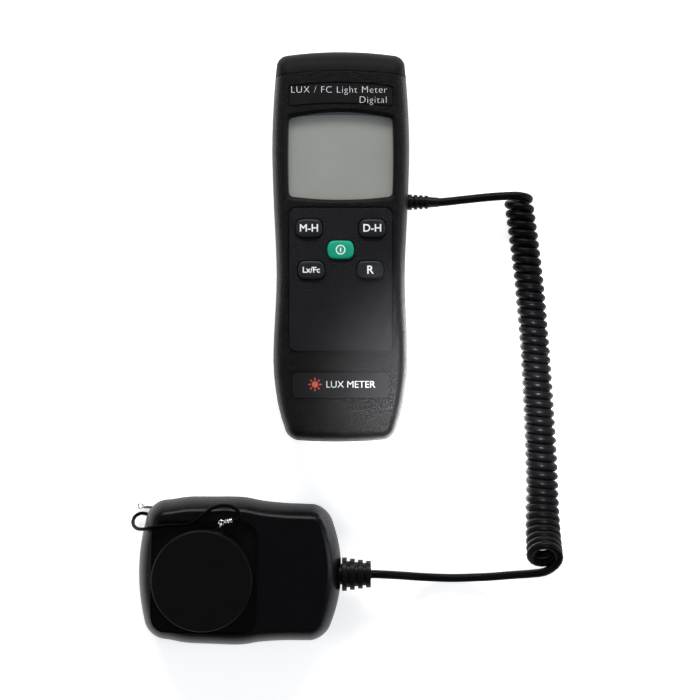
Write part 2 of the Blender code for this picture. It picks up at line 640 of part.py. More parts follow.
def battery_parts():
    middle = (BATTERY_Z[0] + BATTERY_Z[1]) / 2
    corner = 2.4 * MM
    half_height = (BATTERY_Z[1] - BATTERY_Z[0]) / 2
    section = rounded_rectangle((0, middle), (BATTERY_HALF_WIDTH, half_height), corner, 3)
    cell = loft("battery", [[(x, y, z) for x, z in section] for y in BATTERY_Y])
    for x, radius in ((-6.35 * MM, 2.9 * MM), (6.35 * MM, 3.8 * MM)):
        start = (x, BATTERY_Y[1] - 0.5 * MM, middle)
        add(cell, turned("terminal", [(radius, 0), (radius, 3.2 * MM)], start, (0, 1, 0)))
    finished(cell, "battery_steel")
    snap_section = rounded_rectangle((0, middle), (12.6 * MM, 5.5 * MM), 4.5 * MM, 4)
    snap = loft("battery_snap", [[(x, y * MM, z) for x, z in snap_section] for y in (-21.1, -18.3)])
    finished(snap, "rubber_black")
    pad = box("battery_pad", (-11 * MM, -66 * MM, 20.1 * MM), (11 * MM, -44 * MM, 21.7 * MM))
    finished(pad, "foam_grey")
    leads = (("battery_lead_red", 6.0, "lead_red"), ("battery_lead_black", -6.0, "rubber_black"))
    for name, x, finish in leads:
        route = [
            (x, -19.7, 17.2), (x, -18.8, 18.9), (x, -15.5, 19.8), (x * 0.9, -11.0, 20.0),
            (x * 0.8, -6.0, 20.6), (x * 0.8, -4.0, 21.2),
        ]
        finished(tube(name, route, 0.6 * MM, 9, 1), finish)


def battery_door():
    """The flush door, with side tongues, that slides off over the handset's lower end."""
    low, high = DOOR_Z
    body = box("battery_door", (-DOOR_HALF_WIDTH, -90 * MM, low), (DOOR_HALF_WIDTH, DOOR_TOP, high))
    tongue = DOOR_HALF_WIDTH + 0.6 * MM
    add(body, box("tongues", (-tongue, -90 * MM, 0.9 * MM), (tongue, DOOR_TOP, 1.5 * MM)))
    keep_inside(body, loft("case", [handset_ring(*s) for s in reversed(REAR_WALL)]))
    for k in range(4):
        y = (-31.0 + 2.6 * k) * MM
        cut(body, box("grip", (-7 * MM, y, -MM), (7 * MM, y + 1.2 * MM, 0.8 * MM)))
    return finished(body, "case_black")


# ---------------------------------------------------------------- cord


def curve_points(route, count):
    """Evenly spread points on a smooth curve through the route's own points."""
    ends = [Vector(p) for p in [route[0], *route, route[-1]]]
    fine = []
    for a, b, c, d in zip(ends, ends[1:], ends[2:], ends[3:]):
        for i in range(24):
            t = i / 24
            bend = (2 * a - 5 * b + 4 * c - d) * t * t + (3 * b - a - 3 * c + d) * t**3
            fine.append(0.5 * (2 * b + (c - a) * t + bend))
    fine.append(ends[-1])
    along = [0.0]
    for p, q in zip(fine, fine[1:]):
        along.append(along[-1] + (q - p).length)
    points, k = [], 0
    for i in range(count):
        want = along[-1] * i / (count - 1)
        while k < len(along) - 2 and along[k + 1] < want:
            k += 1
        share = (want - along[k]) / (along[k + 1] - along[k])
        points.append(fine[k].lerp(fine[k + 1], min(max(share, 0.0), 1.0)))
    return points


def tube(name, route, radius, count, resolution, taper=None):
    """A bevelled curve with filled caps along a route in millimetres."""
    points = curve_points(route, count)
    data = bpy.data.curves.new(name, "CURVE")
    data.dimensions = "3D"
    data.bevel_depth = radius
    data.bevel_resolution = resolution
    data.use_fill_caps = True
    spline = data.splines.new("POLY")
    spline.points.add(count - 1)
    for i, (point, p) in enumerate(zip(spline.points, points)):
        point.co = (*(p * MM), 1.0)
        point.radius = taper[i] / radius if taper else 1.0
    obj = bpy.data.objects.new(name, data)
    bpy.context.scene.collection.objects.link(obj)
    return obj


def cord():
    finished(tube("cord_lead_handset", LEAD_FROM_HANDSET, CORD_RADIUS, 14, 2), "cord_black")
    finished(tube("cord_lead_sensor", LEAD_TO_SENSOR, CORD_RADIUS, 22, 2), "cord_black")
    axis = [(x, y, r + 0.1, r) for x, y, r in COIL]
    x, y, z, r = axis[-1]
    for k in range(1, 5):
        share = k / 4
        turn = COIL_RISE * share
        rise = COIL_RISE_RADIUS * (1 - math.cos(turn))
        wider = r + (COIL_END_RADIUS - r) * share
        axis.append((x, y - COIL_RISE_RADIUS * math.sin(turn), z + rise, wider))
    count = 26
    radii = [p.x for p in curve_points([(r, y, z) for _, y, z, r in axis], count)]
    coil = tube("cord_coil", [p[:3] for p in axis], radii[0] * MM, count, 3, [r * MM for r in radii])
    finished(coil, "cord_black")


def ribbed_gland(name, start, ribs, rib_radii, rib_pitch, neck, neck_radius, flange_radius, end):
    """A strain relief along +X: a flange inside the wall, a neck through it, ribs and a tail."""
    x, y, z = start
    profile = [
        (flange_radius, -neck - 1.8 * MM), (flange_radius, -neck), (neck_radius, -neck), (neck_radius, GAP),
    ]
    for k in range(ribs):
        share = k / (ribs - 1)
        radius = rib_radii[0] + (rib_radii[1] - rib_radii[0]) * share
        low = GAP + rib_pitch * k
        profile += [(radius, low), (radius, low + rib_pitch * 0.6)]
        if k < ribs - 1:
            groove = radius * 0.78
            profile += [(groove, low + rib_pitch * 0.6), (groove, low + rib_pitch)]
    profile += [(CORD_RADIUS + 0.45 * MM, profile[-1][1]), (CORD_RADIUS + 0.15 * MM, end - x)]
    return finished(turned(name, profile, (x, y, z), (1, 0, 0), 16), "rubber_black")


def glands():
    """Both strain reliefs, and the short end of the cord inside the handset."""
    wall = smooth_table(CORD_EXIT_Y / MM, HANDSET_WIDTHS) * MM
    ribbed_gland(
        "handset_strain_relief", (wall, CORD_EXIT_Y, HANDSET_PARTING), 4, (3.2 * MM, 2.75 * MM), 2.2 * MM,
        WALL + 0.9 * MM, 3.2 * MM, 4.2 * MM, HANDSET_GLAND_END,
    )
    head_end = HEAD_CENTRE.x + HEAD_HALF
    ribbed_gland(
        "sensor_strain_relief", (head_end, HEAD_GLAND_Y, HEAD_PARTING), 4, (6.9 * MM, 5.5 * MM), 3.3 * MM,
        WALL + 2.9 * MM, 4.3 * MM, 5.3 * MM, head_end + 12.4 * MM,
    )
    inner = [
        (22.2, 18.5, 15.0), (19.5, 18.5, 15.2), (16.0, 18.5, 16.6), (14.0, 18.5, 18.2), (12.4, 18.5, 18.6),
    ]
    finished(tube("inner_cord_end", inner, 1.3 * MM, 8, 1), "cord_black")


# ---------------------------------------------------------------- sensor head


def head_gland_hole():
    radius = 4.7 * MM
    start = (HEAD_CENTRE.x + HEAD_HALF - 12 * MM, HEAD_GLAND_Y, HEAD_PARTING)
    return turned("gland_hole", [(radius, 0), (radius, 20 * MM)], start, (1, 0, 0), 16)


def sensor_front_shell():
    body = shell("sensor_front_shell", head_ring, HEAD_FRONT_INSIDE, HEAD_FRONT_WALL, 0.15)
    corners = rounded_rectangle((0, 0), RECESS_HALF, 6.5 * MM)
    recess = [Vector(RECESS_CENTRE) + HEAD_TURN @ Vector(p) for p in corners]
    cut(body, prism("recess", recess, RECESS_FLOOR, 30 * MM))
    collar = [(COLLAR_RADIUS, HEAD_INNER_TOP + 0.5 * MM), (COLLAR_RADIUS, COLLAR_TOP)]
    add(body, turned("collar", collar, EYE_CENTRE, sides=LARGE_ROUND))
    bore = [(COLLAR_BORE, 15 * MM), (COLLAR_BORE, 30 * MM)]
    cut(body, turned("bore", bore, EYE_CENTRE, sides=LARGE_ROUND))
    for x, y in HEAD_SCREWS:
        place = (x * MM, y * MM, 0)
        add(body, turned("boss", [(2.6 * MM, 7.3 * MM), (2.6 * MM, 19.9 * MM)], place))
        cut(body, turned("pilot", [(PILOT_RADIUS, 6 * MM), (PILOT_RADIUS, 18 * MM)], place))
    cut(body, head_gland_hole())
    return finished(body, "case_black")


def sensor_rear_shell():
    body = shell("sensor_rear_shell", head_ring, HEAD_REAR_INSIDE, HEAD_REAR_WALL, -0.15)
    for x, y in HEAD_SCREWS:
        place = (x * MM, y * MM, 0)
        add(body, turned("boss", [(3.4 * MM, 1.9 * MM), (3.4 * MM, 7.0 * MM)], place))
        cut(body, turned("counterbore", [(2.8 * MM, -MM), (2.8 * MM, 5.0 * MM)], place))
        cut(body, turned("clearance", [(1.5 * MM, 4 * MM), (1.5 * MM, 9 * MM)], place))
    # A pocket in the corner, open to the outside, where the tether goes round its post.
    pocket = box("pocket", (-73.6 * MM, -114.9 * MM, 3.6 * MM), (-66.6 * MM, -107.2 * MM, 7.4 * MM))
    mouth = box("mouth", (-86 * MM, -114.9 * MM, 3.6 * MM), (-70 * MM, -100 * MM, 7.4 * MM))
    walls = box("walls", (-75.6 * MM, -116.4 * MM, 1.5 * MM), (-65.1 * MM, -106.0 * MM, 8.9 * MM))
    keep_inside(walls, loft("case", [head_ring(*s) for s in reversed(HEAD_REAR_WALL)]))
    add(body, walls)
    notch = box("notch", (-82 * MM, -109.3 * MM, -MM), (-73.9 * MM, -100 * MM, 7.4 * MM))
    cut(body, pocket, mouth, notch)
    cut(body, head_gland_hole())
    post = [(TETHER_POST_RADIUS + GAP, 2.4 * MM), (TETHER_POST_RADIUS + GAP, 8.6 * MM)]
    cut(body, turned("post_hole", post, TETHER_POST))
    return finished(body, "case_black")


def tether_post():
    post = [(TETHER_POST_RADIUS, 2.7 * MM), (TETHER_POST_RADIUS, 8.3 * MM)]
    return finished(turned("tether_post", post, TETHER_POST), "steel")


def sensor_optics():
    """The white dome, its retainer, the colour filter in its holder, the photodiode and its board."""
    flange, wall = 18.2 * MM, 15.9 * MM
    outer = [(flange, 17.7 * MM), (flange, 19.2 * MM), (wall, 19.2 * MM), (wall, 24.2 * MM)]
    rise = 5.0 * MM
    for k in range(1, 5):
        a = math.pi / 2 * k / 4.6
        outer.append((wall * math.cos(a), 24.2 * MM + rise * math.sin(a)))
    dome = turned("diffuser_dome", outer, EYE_CENTRE, sides=LARGE_ROUND)
    inner = [(14.4 * MM, 17 * MM), (14.4 * MM, 24.0 * MM)]
    for k in range(1, 4):
        a = math.pi / 2 * k / 4
        inner.append((14.4 * MM * math.cos(a), 24.0 * MM + 3.6 * MM * math.sin(a)))
    cut(dome, turned("hollow", inner, EYE_CENTRE, sides=LARGE_ROUND))
    finished(dome, "dome_white")
    retainer = turned("dome_retainer", [(18.2 * MM, 15.9 * MM), (18.2 * MM, 17.4 * MM)], EYE_CENTRE, sides=32)
    cut(retainer, turned("bore", [(13.4 * MM, 14 * MM), (13.4 * MM, 19 * MM)], EYE_CENTRE, sides=32))
    finished(retainer, "case_black")
    holder = turned("filter_holder", [(8.6 * MM, 14.9 * MM), (8.6 * MM, 19.0 * MM)], EYE_CENTRE, sides=24)
    cut(holder, turned("bore", [(6.4 * MM, 14 * MM), (6.4 * MM, 20 * MM)], EYE_CENTRE, sides=24))
    cut(holder, turned("seat", [(7.4 * MM, 17.3 * MM), (7.4 * MM, 20 * MM)], EYE_CENTRE, sides=24))
    finished(holder, "case_black")
    glass = turned("colour_filter", [(7.0 * MM, 17.6 * MM), (7.0 * MM, 18.9 * MM)], EYE_CENTRE, sides=24)
    finished(glass, "filter_green")
    x, y = EYE_CENTRE.x, EYE_CENTRE.y
    diode = box("photodiode", (x - 4 * MM, y - 4 * MM, 14.9 * MM), (x + 4 * MM, y + 4 * MM, 16.8 * MM))
    finished(diode, "chip_black")
    board_outline = rounded_rectangle((x, y), (17 * MM, 15 * MM), 2 * MM, 2)
    finished(prism("sensor_board", board_outline, 13.0 * MM, 14.6 * MM), "board_green")


def lug_direction():
    return Vector((math.cos(LUG_ANGLE), math.sin(LUG_ANGLE), 0))


def sensor_cap():
    """The round dust cap, hollow below, with a drilled lug for the tether."""
    low, high = CAP_Z
    profile = [(CAP_RADIUS, low), (CAP_RADIUS, high - 0.9 * MM), (CAP_RADIUS - 0.3 * MM, high - 0.25 * MM)]
    profile.append((CAP_RADIUS - 1.0 * MM, high))
    body = turned("sensor_cap", profile, EYE_CENTRE, sides=LARGE_ROUND)
    out = lug_direction()
    lug = prism("lug", circle(EYE_CENTRE + out * (CAP_RADIUS + 0.5 * MM), 1.9 * MM, 16), *LUG_Z)
    add(body, lug)
    inside = [(CAP_BORE, low - MM), (CAP_BORE, high - CAP_TOP_THICK)]
    cut(body, turned("inside", inside, EYE_CENTRE, sides=LARGE_ROUND))
    cut(body, prism("hole", circle(EYE_CENTRE + out * LUG_HOLE, 0.65 * MM, 10), 20 * MM, 30 * MM))
    return finished(body, "case_black")


def tether():
    """The cap's tether: a cord, a ferrule with an eye on each end, and a ring through the lug."""
    finished(tube("tether_cord", TETHER, TETHER_RADIUS, 48, 1), "cord_black")
    for name, (eye_end, cord_end) in (("housing_ferrule", HOUSING_FERRULE), ("cap_ferrule", CAP_FERRULE)):
        along = eye_end - cord_end
        length = along.length
        profile = [(FERRULE_RADIUS * 0.8, 0), (FERRULE_RADIUS, 0.4 * MM), (FERRULE_RADIUS, length - 0.6 * MM)]
        profile.append((0.5 * MM, length))
        body = turned(name, profile, cord_end, along, 12)
        add(body, torus("eye", eye_end + along.normalized() * 0.9 * MM, (0, 0, 1), *EYE_RADII))
        finished(body, "steel")
    out = lug_direction()
    centre = EYE_CENTRE + out * (LUG_HOLE + 1.4 * MM) + Vector((0, 0, sum(LUG_Z) / 2))
    normal = out.cross(Vector((0, 0, 1)))
    finished(torus("cap_ring", centre, normal, 1.4 * MM, 0.3 * MM), "steel")


def build():
    for obj in list(bpy.data.objects):
        bpy.data.objects.remove(obj)
    front_shell()
    rear_shell()
    top_end_cap()
    labels()
    display()
    electronics()
    for name, place in KEYS.items():
        key(name, place)
    battery_parts()
    battery_door()
    for i, (x, y) in enumerate(CASE_SCREWS):
        screw(f"case_screw_{i + 1}", x, y, 5.7 * MM, 17 * MM)
    for i, (x, y) in enumerate(BOARD_SCREWS):
        screw(f"board_screw_{i + 1}", x, y, 21.7 * MM, 27 * MM)
    glands()
    cord()
    sensor_front_shell()
    sensor_rear_shell()
    tether_post()
    sensor_optics()
    for i, (x, y) in enumerate(HEAD_SCREWS):
        screw(f"sensor_screw_{i + 1}", x, y, 4.7 * MM, 15 * MM)
    sensor_cap()
    tether()


build()
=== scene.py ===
"""The look of a handheld light meter with a remote sensor head on a curly cord.

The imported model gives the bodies, the joints and the pieces inside. This script replaces the
visible mouldings, keys, cord and fittings with detailed ones in the same places, gives every
piece its own procedural material, and adds the camera, floor and lights.
"""

import json
import math

import bmesh
import bpy
from mathutils import Matrix, Vector


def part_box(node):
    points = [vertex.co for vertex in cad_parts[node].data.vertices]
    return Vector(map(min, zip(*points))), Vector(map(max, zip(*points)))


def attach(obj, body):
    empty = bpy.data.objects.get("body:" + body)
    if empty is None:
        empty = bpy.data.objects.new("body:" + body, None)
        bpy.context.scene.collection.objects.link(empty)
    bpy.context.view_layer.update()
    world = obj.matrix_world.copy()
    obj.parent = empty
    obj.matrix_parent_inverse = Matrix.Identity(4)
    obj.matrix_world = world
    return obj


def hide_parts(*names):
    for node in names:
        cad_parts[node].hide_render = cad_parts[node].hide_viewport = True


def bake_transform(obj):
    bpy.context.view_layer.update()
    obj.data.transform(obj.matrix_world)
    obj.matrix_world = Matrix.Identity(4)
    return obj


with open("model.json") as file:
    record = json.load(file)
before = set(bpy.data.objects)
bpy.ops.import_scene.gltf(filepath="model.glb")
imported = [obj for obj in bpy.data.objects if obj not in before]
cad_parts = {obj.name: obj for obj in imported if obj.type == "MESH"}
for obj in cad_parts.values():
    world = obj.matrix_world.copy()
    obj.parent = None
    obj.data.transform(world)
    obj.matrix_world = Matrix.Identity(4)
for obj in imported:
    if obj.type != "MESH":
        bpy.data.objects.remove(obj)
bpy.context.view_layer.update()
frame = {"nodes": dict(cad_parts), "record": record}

MM = 0.001
GAP = 0.3 * MM  # clearance between neighbouring pieces
UP = Vector((0, 0, 1))

# ---------------------------------------------------------------- camera

CAMERA_PLACE = (3.8 * MM, -42.25 * MM, 1.0)
FOCAL_LENGTH, SENSOR_WIDTH = 123.2, 36.0


def add_camera():
    """Looks straight down from a metre above the middle of the group."""
    data = bpy.data.cameras.new("camera")
    data.lens = FOCAL_LENGTH
    data.sensor_width = SENSOR_WIDTH
    data.clip_start = 0.01
    camera = bpy.data.objects.new("camera", data)
    camera.location = CAMERA_PLACE
    bpy.context.scene.collection.objects.link(camera)
    bpy.context.scene.camera = camera


add_camera()

# ---------------------------------------------------------------- materials

WEAR_AND_HIGHLIGHT_FROM, WEAR_AND_HIGHLIGHT_TO = 0.515, 0.60  # how convex an edge starts to lighten, and is fully lightened: worn edges, and a painted highlight on the key caps' rims
FLOOR_GLOW = 0.62  # the paper is lit from below as well


def surface(
    name, colour, rough, metallic=0.0, grain=(0.35, 0.03), mottle=(6.0, 0.12), spread=0.06,
    wear_and_rim_highlight=0.0, alpha=1.0, coat=0.0, specular=0.5, ior=1.5, sheen=0.0, subsurface=0.0,
):
    """A Principled material with moulded grain, soft mottling and lighter convex edges, which are worn and,
    on the key caps, also a painted highlight.

    grain and mottle are (size, strength), with sizes and the grain's depth in millimetres.
    """
    made = bpy.data.materials.new(name)
    made.use_nodes = True
    nodes, link = made.node_tree.nodes, made.node_tree.links.new
    shader = nodes["Principled BSDF"]
    coords = nodes.new("ShaderNodeTexCoord").outputs["Object"]

    def noise(size, detail):
        node = nodes.new("ShaderNodeTexNoise")
        node.inputs["Scale"].default_value = 1.0 / (size * MM)
        node.inputs["Detail"].default_value = detail
        link(coords, node.inputs["Vector"])
        return node.outputs["Fac"]

    def ranged(value, low, high, to_low, to_high):
        node = nodes.new("ShaderNodeMapRange")
        for socket, number in zip(list(node.inputs)[1:5], (low, high, to_low, to_high)):
            socket.default_value = number
        link(value, node.inputs["Value"])
        return node.outputs["Result"]

    def mixed(factor, first, second):
        node = nodes.new("ShaderNodeMix")
        node.data_type = "RGBA"
        link(factor, node.inputs["Factor"])
        for socket, value in ((node.inputs["A"], first), (node.inputs["B"], second)):
            if isinstance(value, tuple):
                socket.default_value = (*value, 1.0)
            else:
                link(value, socket)
        return node.outputs["Result"]

    broad = noise(mottle[0], 3.0)
    fine = noise(grain[0], 2.0)
    darker = tuple(c * (1 - mottle[1]) for c in colour)
    lighter = tuple(c * (1 + mottle[1]) for c in colour)
    tint = mixed(ranged(broad, 0.3, 0.7, 0.0, 1.0), darker, lighter)
    # Convex edges are mixed towards a lighter colour: worn edges, and on the key caps' rims a painted
    # highlight.
    if wear_and_rim_highlight:
        convex = nodes.new("ShaderNodeNewGeometry").outputs["Pointiness"]
        edge = ranged(convex, WEAR_AND_HIGHLIGHT_FROM, WEAR_AND_HIGHLIGHT_TO, 0.0, wear_and_rim_highlight)
        tint = mixed(edge, tint, tuple(min(c * 3 + 0.02, 1.0) for c in colour))
    link(tint, shader.inputs["Base Color"])
    link(ranged(fine, 0.25, 0.75, rough - spread, rough + spread), shader.inputs["Roughness"])
    if grain[1]:
        bump = nodes.new("ShaderNodeBump")
        bump.inputs["Strength"].default_value = 1.0
        bump.inputs["Distance"].default_value = grain[1] * MM
        link(fine, bump.inputs["Height"])
        link(bump.outputs["Normal"], shader.inputs["Normal"])
    shader.inputs["Metallic"].default_value = metallic
    shader.inputs["Alpha"].default_value = alpha
    shader.inputs["Coat Weight"].default_value = coat
    shader.inputs["Coat Roughness"].default_value = 0.08
    shader.inputs["Specular IOR Level"].default_value = specular
    shader.inputs["IOR"].default_value = ior
    shader.inputs["Sheen Weight"].default_value = sheen
    shader.inputs["Subsurface Weight"].default_value = subsurface
    shader.inputs["Subsurface Scale"].default_value = 1.5 * MM
    return made


CASE = surface("case_spark_texture", (0.0042, 0.0042, 0.0047), 0.37, grain=(0.6, 0.42), mottle=(7.0, 0.15),
               spread=0.10, specular=1.0, ior=1.14)
NOSE = surface("nose_plastic", (0.0058, 0.0058, 0.0062), 0.55, grain=(0.5, 0.03), specular=0.35, ior=1.17)
HEAD = surface("head_plastic", (0.0030, 0.0030, 0.0036), 0.29, grain=(3.0, 0.002), spread=0.03,
               specular=1.0, ior=1.12)
CAP = surface("cap_plastic", (0.0026, 0.0027, 0.0030), 0.50, grain=(0.3, 0.010), specular=0.25, ior=1.25)
LABEL = surface("printed_film", (0.0125, 0.0125, 0.0134), 0.55, grain=(0.25, 0.010), mottle=(9.0, 0.1),
                specular=0.10, ior=1.25)
PANEL = surface("keypad_film", (0.0085, 0.0085, 0.0100), 0.41, grain=(0.6, 0.42), mottle=(9.0, 0.1),
                spread=0.10, specular=1.0, ior=1.15)
# The key caps' rims are lightened: partly worn, partly a painted highlight.
KEY = surface("key_moulding", (0.0110, 0.0120, 0.0140), 0.46, grain=(0.3, 0.01), wear_and_rim_highlight=0.1, specular=0.5,
              ior=1.3)
GREEN = surface("key_moulding_green", (0.010, 0.325, 0.195), 0.45, grain=(0.3, 0.008), mottle=(3.0, 0.08),
                specular=0.40, ior=1.3)
PRINT = surface("white_print", (0.92, 0.92, 0.93), 0.5, grain=(0.2, 0.004), mottle=(1.5, 0.04), specular=0.2)
GREY_PRINT = surface("grey_print", (0.50, 0.51, 0.52), 0.5, grain=(0.2, 0.004), mottle=(1.5, 0.06),
                     specular=0.2)
RED_PRINT = surface("red_print", (0.42, 0.060, 0.035), 0.5, grain=(0.2, 0.004), mottle=(1.5, 0.1),
                    specular=0.2)
RUBBER = surface("gland_rubber", (0.0022, 0.0022, 0.0025), 0.40, grain=(0.2, 0.01), wear_and_rim_highlight=0.1,
                 specular=0.5, ior=1.2)
JACKET = surface("cord_sheath", (0.0024, 0.0024, 0.0028), 0.33, grain=(0.6, 0.012), mottle=(8.0, 0.15),
                 specular=0.65, ior=1.12)
TETHER_MATERIAL = surface("tether_sheath", (0.0012, 0.0012, 0.0014), 0.45, grain=(0.3, 0.02),
                          specular=0.4, ior=1.12)
NICKEL = surface("nickel", (0.66, 0.64, 0.60), 0.22, metallic=1.0, grain=(0.5, 0.004), mottle=(1.5, 0.12))
LCD = surface("lcd_glass", (0.245, 0.251, 0.219), 0.30, grain=(0.3, 0.001), mottle=(20.0, 0.05), coat=0.2)
LENS = surface("window_lens", (0.70, 0.71, 0.69), 0.05, grain=(2.0, 0.0), mottle=(20.0, 0.03), alpha=0.10,
               spread=0.02, specular=0.2)
DOME = surface("opal_dome", (0.86, 0.86, 0.84), 0.38, grain=(0.3, 0.006), mottle=(5.0, 0.03), subsurface=0.2)
INNER = {
    "case_plastic": CASE,
    "label_film": LABEL,
    "key_rubber": KEY,
    "key_green": GREEN,
    "soft_rubber": RUBBER,
    "cord_jacket": JACKET,
    "lens": LENS,
    "lcd": LCD,
    "board": surface("board_mask", (0.018, 0.130, 0.052), 0.42, grain=(0.8, 0.01), mottle=(2.0, 0.25)),
    "chip": surface("chip_epoxy", (0.018, 0.018, 0.018), 0.5, grain=(0.15, 0.008), mottle=(2.0, 0.2)),
    "steel": surface("screw_steel", (0.58, 0.57, 0.55), 0.28, metallic=1.0, grain=(0.25, 0.006), wear_and_rim_highlight=0.3),
    "dome": DOME,
    "filter": surface("filter_glass", (0.2, 0.55, 0.35), 0.06, grain=(2.0, 0.0), alpha=0.5, spread=0.02),
    "battery": surface("battery_can", (0.10, 0.10, 0.11), 0.34, metallic=0.6, grain=(0.4, 0.005), wear_and_rim_highlight=0.6),
    "foam": surface("open_cell_foam", (0.070, 0.070, 0.074), 0.9, grain=(0.5, 0.12), mottle=(1.0, 0.3),
                    sheen=0.1),
    "red_wire": surface("red_insulation", (0.42, 0.018, 0.018), 0.42, grain=(0.5, 0.005)),
    "connector": surface("nylon", (0.72, 0.71, 0.67), 0.45, grain=(0.3, 0.008), mottle=(2.0, 0.05)),
}


def finish_frame_nodes():
    """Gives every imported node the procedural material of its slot."""
    for entry in frame["record"]["subparts"]:
        node = frame["nodes"][entry["node"]]
        node.data.materials.clear()
        node.data.materials.append(INNER[entry["material_slot"]])


finish_frame_nodes()

# ---------------------------------------------------------------- meshes

SHARPEST_LEFT = math.radians(32)  # edges that turn more than this are softened
PRINT_THICKNESS = 0.03 * MM


def object_from(bm, name):
    bmesh.ops.recalc_face_normals(bm, faces=bm.faces)
    mesh = bpy.data.meshes.new(name)
    bm.to_mesh(mesh)
    bm.free()
    obj = bpy.data.objects.new(name, mesh)
    bpy.context.scene.collection.objects.link(obj)
    return obj


def loft(name, rings, closed=False):
    """A solid through rings of equally many points; closed joins the last ring to the first."""
    bm = bmesh.new()
    loops = [[bm.verts.new(p) for p in ring] for ring in rings]
    count = len(loops[0])
    for lower, upper in zip(loops, loops[1:] + (loops[:1] if closed else [])):
        for i in range(count):
            j = (i + 1) % count
            bm.faces.new((lower[i], lower[j], upper[j], upper[i]))
    if not closed:
        bm.faces.new(reversed(loops[0]))
        bm.faces.new(loops[-1])
    return object_from(bm, name)


def prism(name, outline, low, high):
    """An outline raised from one height to another."""
    return loft(name, [[(x, y, z) for x, y in outline] for z in (low, high)])


def box(name, low, high):
    outline = [(low[0], low[1]), (high[0], low[1]), (high[0], high[1]), (low[0], high[1])]
    return prism(name, outline, low[2], high[2])


def circle(centre, radius, sides):
    turns = [2 * math.pi * i / sides for i in range(sides)]
    return [(centre[0] + radius * math.cos(a), centre[1] + radius * math.sin(a)) for a in turns]


def turned(name, profile, origin=(0, 0, 0), axis=UP, sides=48):
    """A solid of revolution through (radius, height) pairs along the axis."""
    turn = Vector(axis).normalized().to_track_quat("Z", "Y").to_matrix()
    rings = []
    for radius, height in profile:
        flat = circle((0, 0), radius, sides)
        rings.append([Vector(origin) + turn @ Vector((x, y, height)) for x, y in flat])
    return loft(name, rings)


def torus(name, centre, normal, ring_radius, wire_radius, sides=40, wire_sides=14):
    """A ring of round wire about a normal."""
    turn = Vector(normal).normalized().to_track_quat("Z", "Y").to_matrix()
    rings = []
    for i in range(sides):
        a = 2 * math.pi * i / sides
        ring = []
        for k in range(wire_sides):
            b = 2 * math.pi * k / wire_sides
            reach = ring_radius + wire_radius * math.cos(b)
            local = Vector((reach * math.cos(a), reach * math.sin(a), wire_radius * math.sin(b)))
            ring.append(Vector(centre) + turn @ local)
        rings.append(ring)
    return loft(name, rings, closed=True)


def combine(target, tool, operation):
    """Applies a boolean to the target and removes the tool."""
    modifier = target.modifiers.new("combine", "BOOLEAN")
    modifier.operation = operation
    modifier.solver = "EXACT"
    modifier.object = tool
    bpy.context.view_layer.update()
    graph = bpy.context.evaluated_depsgraph_get()
    result = bpy.data.meshes.new_from_object(target.evaluated_get(graph))
    target.modifiers.clear()
    target.data = result
    bpy.data.objects.remove(tool)
    return target


def cut(target, *tools):
    for tool in tools:
        combine(target, tool, "DIFFERENCE")
    return target


def add(target, *tools):
    for tool in tools:
        combine(target, tool, "UNION")
    return target


def piece(obj, body, look, stands_for=(), edge=0.0, smooth_angle=35):
    """Finishes a piece: its material, shading, softened edges and body."""
    obj.data.materials.clear()
    obj.data.materials.append(look)
    obj.data.shade_smooth()
    obj.data.set_sharp_from_angle(angle=math.radians(smooth_angle))
    if edge:
        bevel = obj.modifiers.new("softened_edges", "BEVEL")
        bevel.width = edge * MM
        bevel.segments = 2
        bevel.limit_method = "ANGLE"
        bevel.angle_limit = SHARPEST_LEFT
        bevel.use_clamp_overlap = True
        even = obj.modifiers.new("even_shading", "WEIGHTED_NORMAL")
        even.keep_sharp = False
    if body:
        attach(obj, body)
    if stands_for:
        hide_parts(*stands_for)
    return obj


def lettering(name, text, size, place, body, look, align="CENTER", bold=0.0, spacing=1.0, thin=0.0):
    """Flat raised lettering from the built-in typeface, as a mesh; measures are in millimetres."""
    data = bpy.data.curves.new(name, "FONT")
    data.body = text
    data.size = size * MM
    data.extrude = PRINT_THICKNESS / 2
    data.bevel_depth = bold * MM
    data.offset = -thin * MM
    data.bevel_resolution = 1
    data.space_character = spacing
    data.align_x = align
    data.align_y = "CENTER"
    data.resolution_u = 6
    carrier = bpy.data.objects.new(name + "_outline", data)
    bpy.context.scene.collection.objects.link(carrier)
    bpy.context.view_layer.update()
    graph = bpy.context.evaluated_depsgraph_get()
    mesh = bpy.data.meshes.new_from_object(carrier.evaluated_get(graph))
    bpy.data.objects.remove(carrier)
    mesh.transform(Matrix.Translation(Vector(place) * MM))
    obj = bpy.data.objects.new(name, mesh)
    bpy.context.scene.collection.objects.link(obj)
    return piece(obj, body, look)


# ---------------------------------------------------------------- smooth curves and outlines

ROUNDING = 0.56  # how far a Bezier curve's handles reach to draw a quarter circle


def curve_points(route, count):
    """Evenly spread points on a smooth curve through the route's own points."""
    ends = [Vector(p) for p in [route[0], *route, route[-1]]]
    fine = []
    for a, b, c, d in zip(ends, ends[1:], ends[2:], ends[3:]):
        for i in range(24):
            t = i / 24
            bend = (2 * a - 5 * b + 4 * c - d) * t * t + (3 * b - a - 3 * c + d) * t**3
            fine.append(0.5 * (2 * b + (c - a) * t + bend))
    fine.append(ends[-1])
    along = [0.0]
    for p, q in zip(fine, fine[1:]):
        along.append(along[-1] + (q - p).length)
    points, k = [], 0
    for i in range(count):
        want = along[-1] * i / (count - 1)
        while k < len(along) - 2 and along[k + 1] < want:
            k += 1
        share = (want - along[k]) / (along[k + 1] - along[k])
        points.append(fine[k].lerp(fine[k + 1], min(max(share, 0.0), 1.0)))
    return points


def path_length(points):
    return sum((q - p).length for p, q in zip(points, points[1:]))


def profile_points(profile, count):
    """More points on a smooth curve through a wall profile's (inset, height) pairs."""
    return [(p.x, p.y) for p in curve_points([(a, b, 0.0) for a, b in profile], count)]


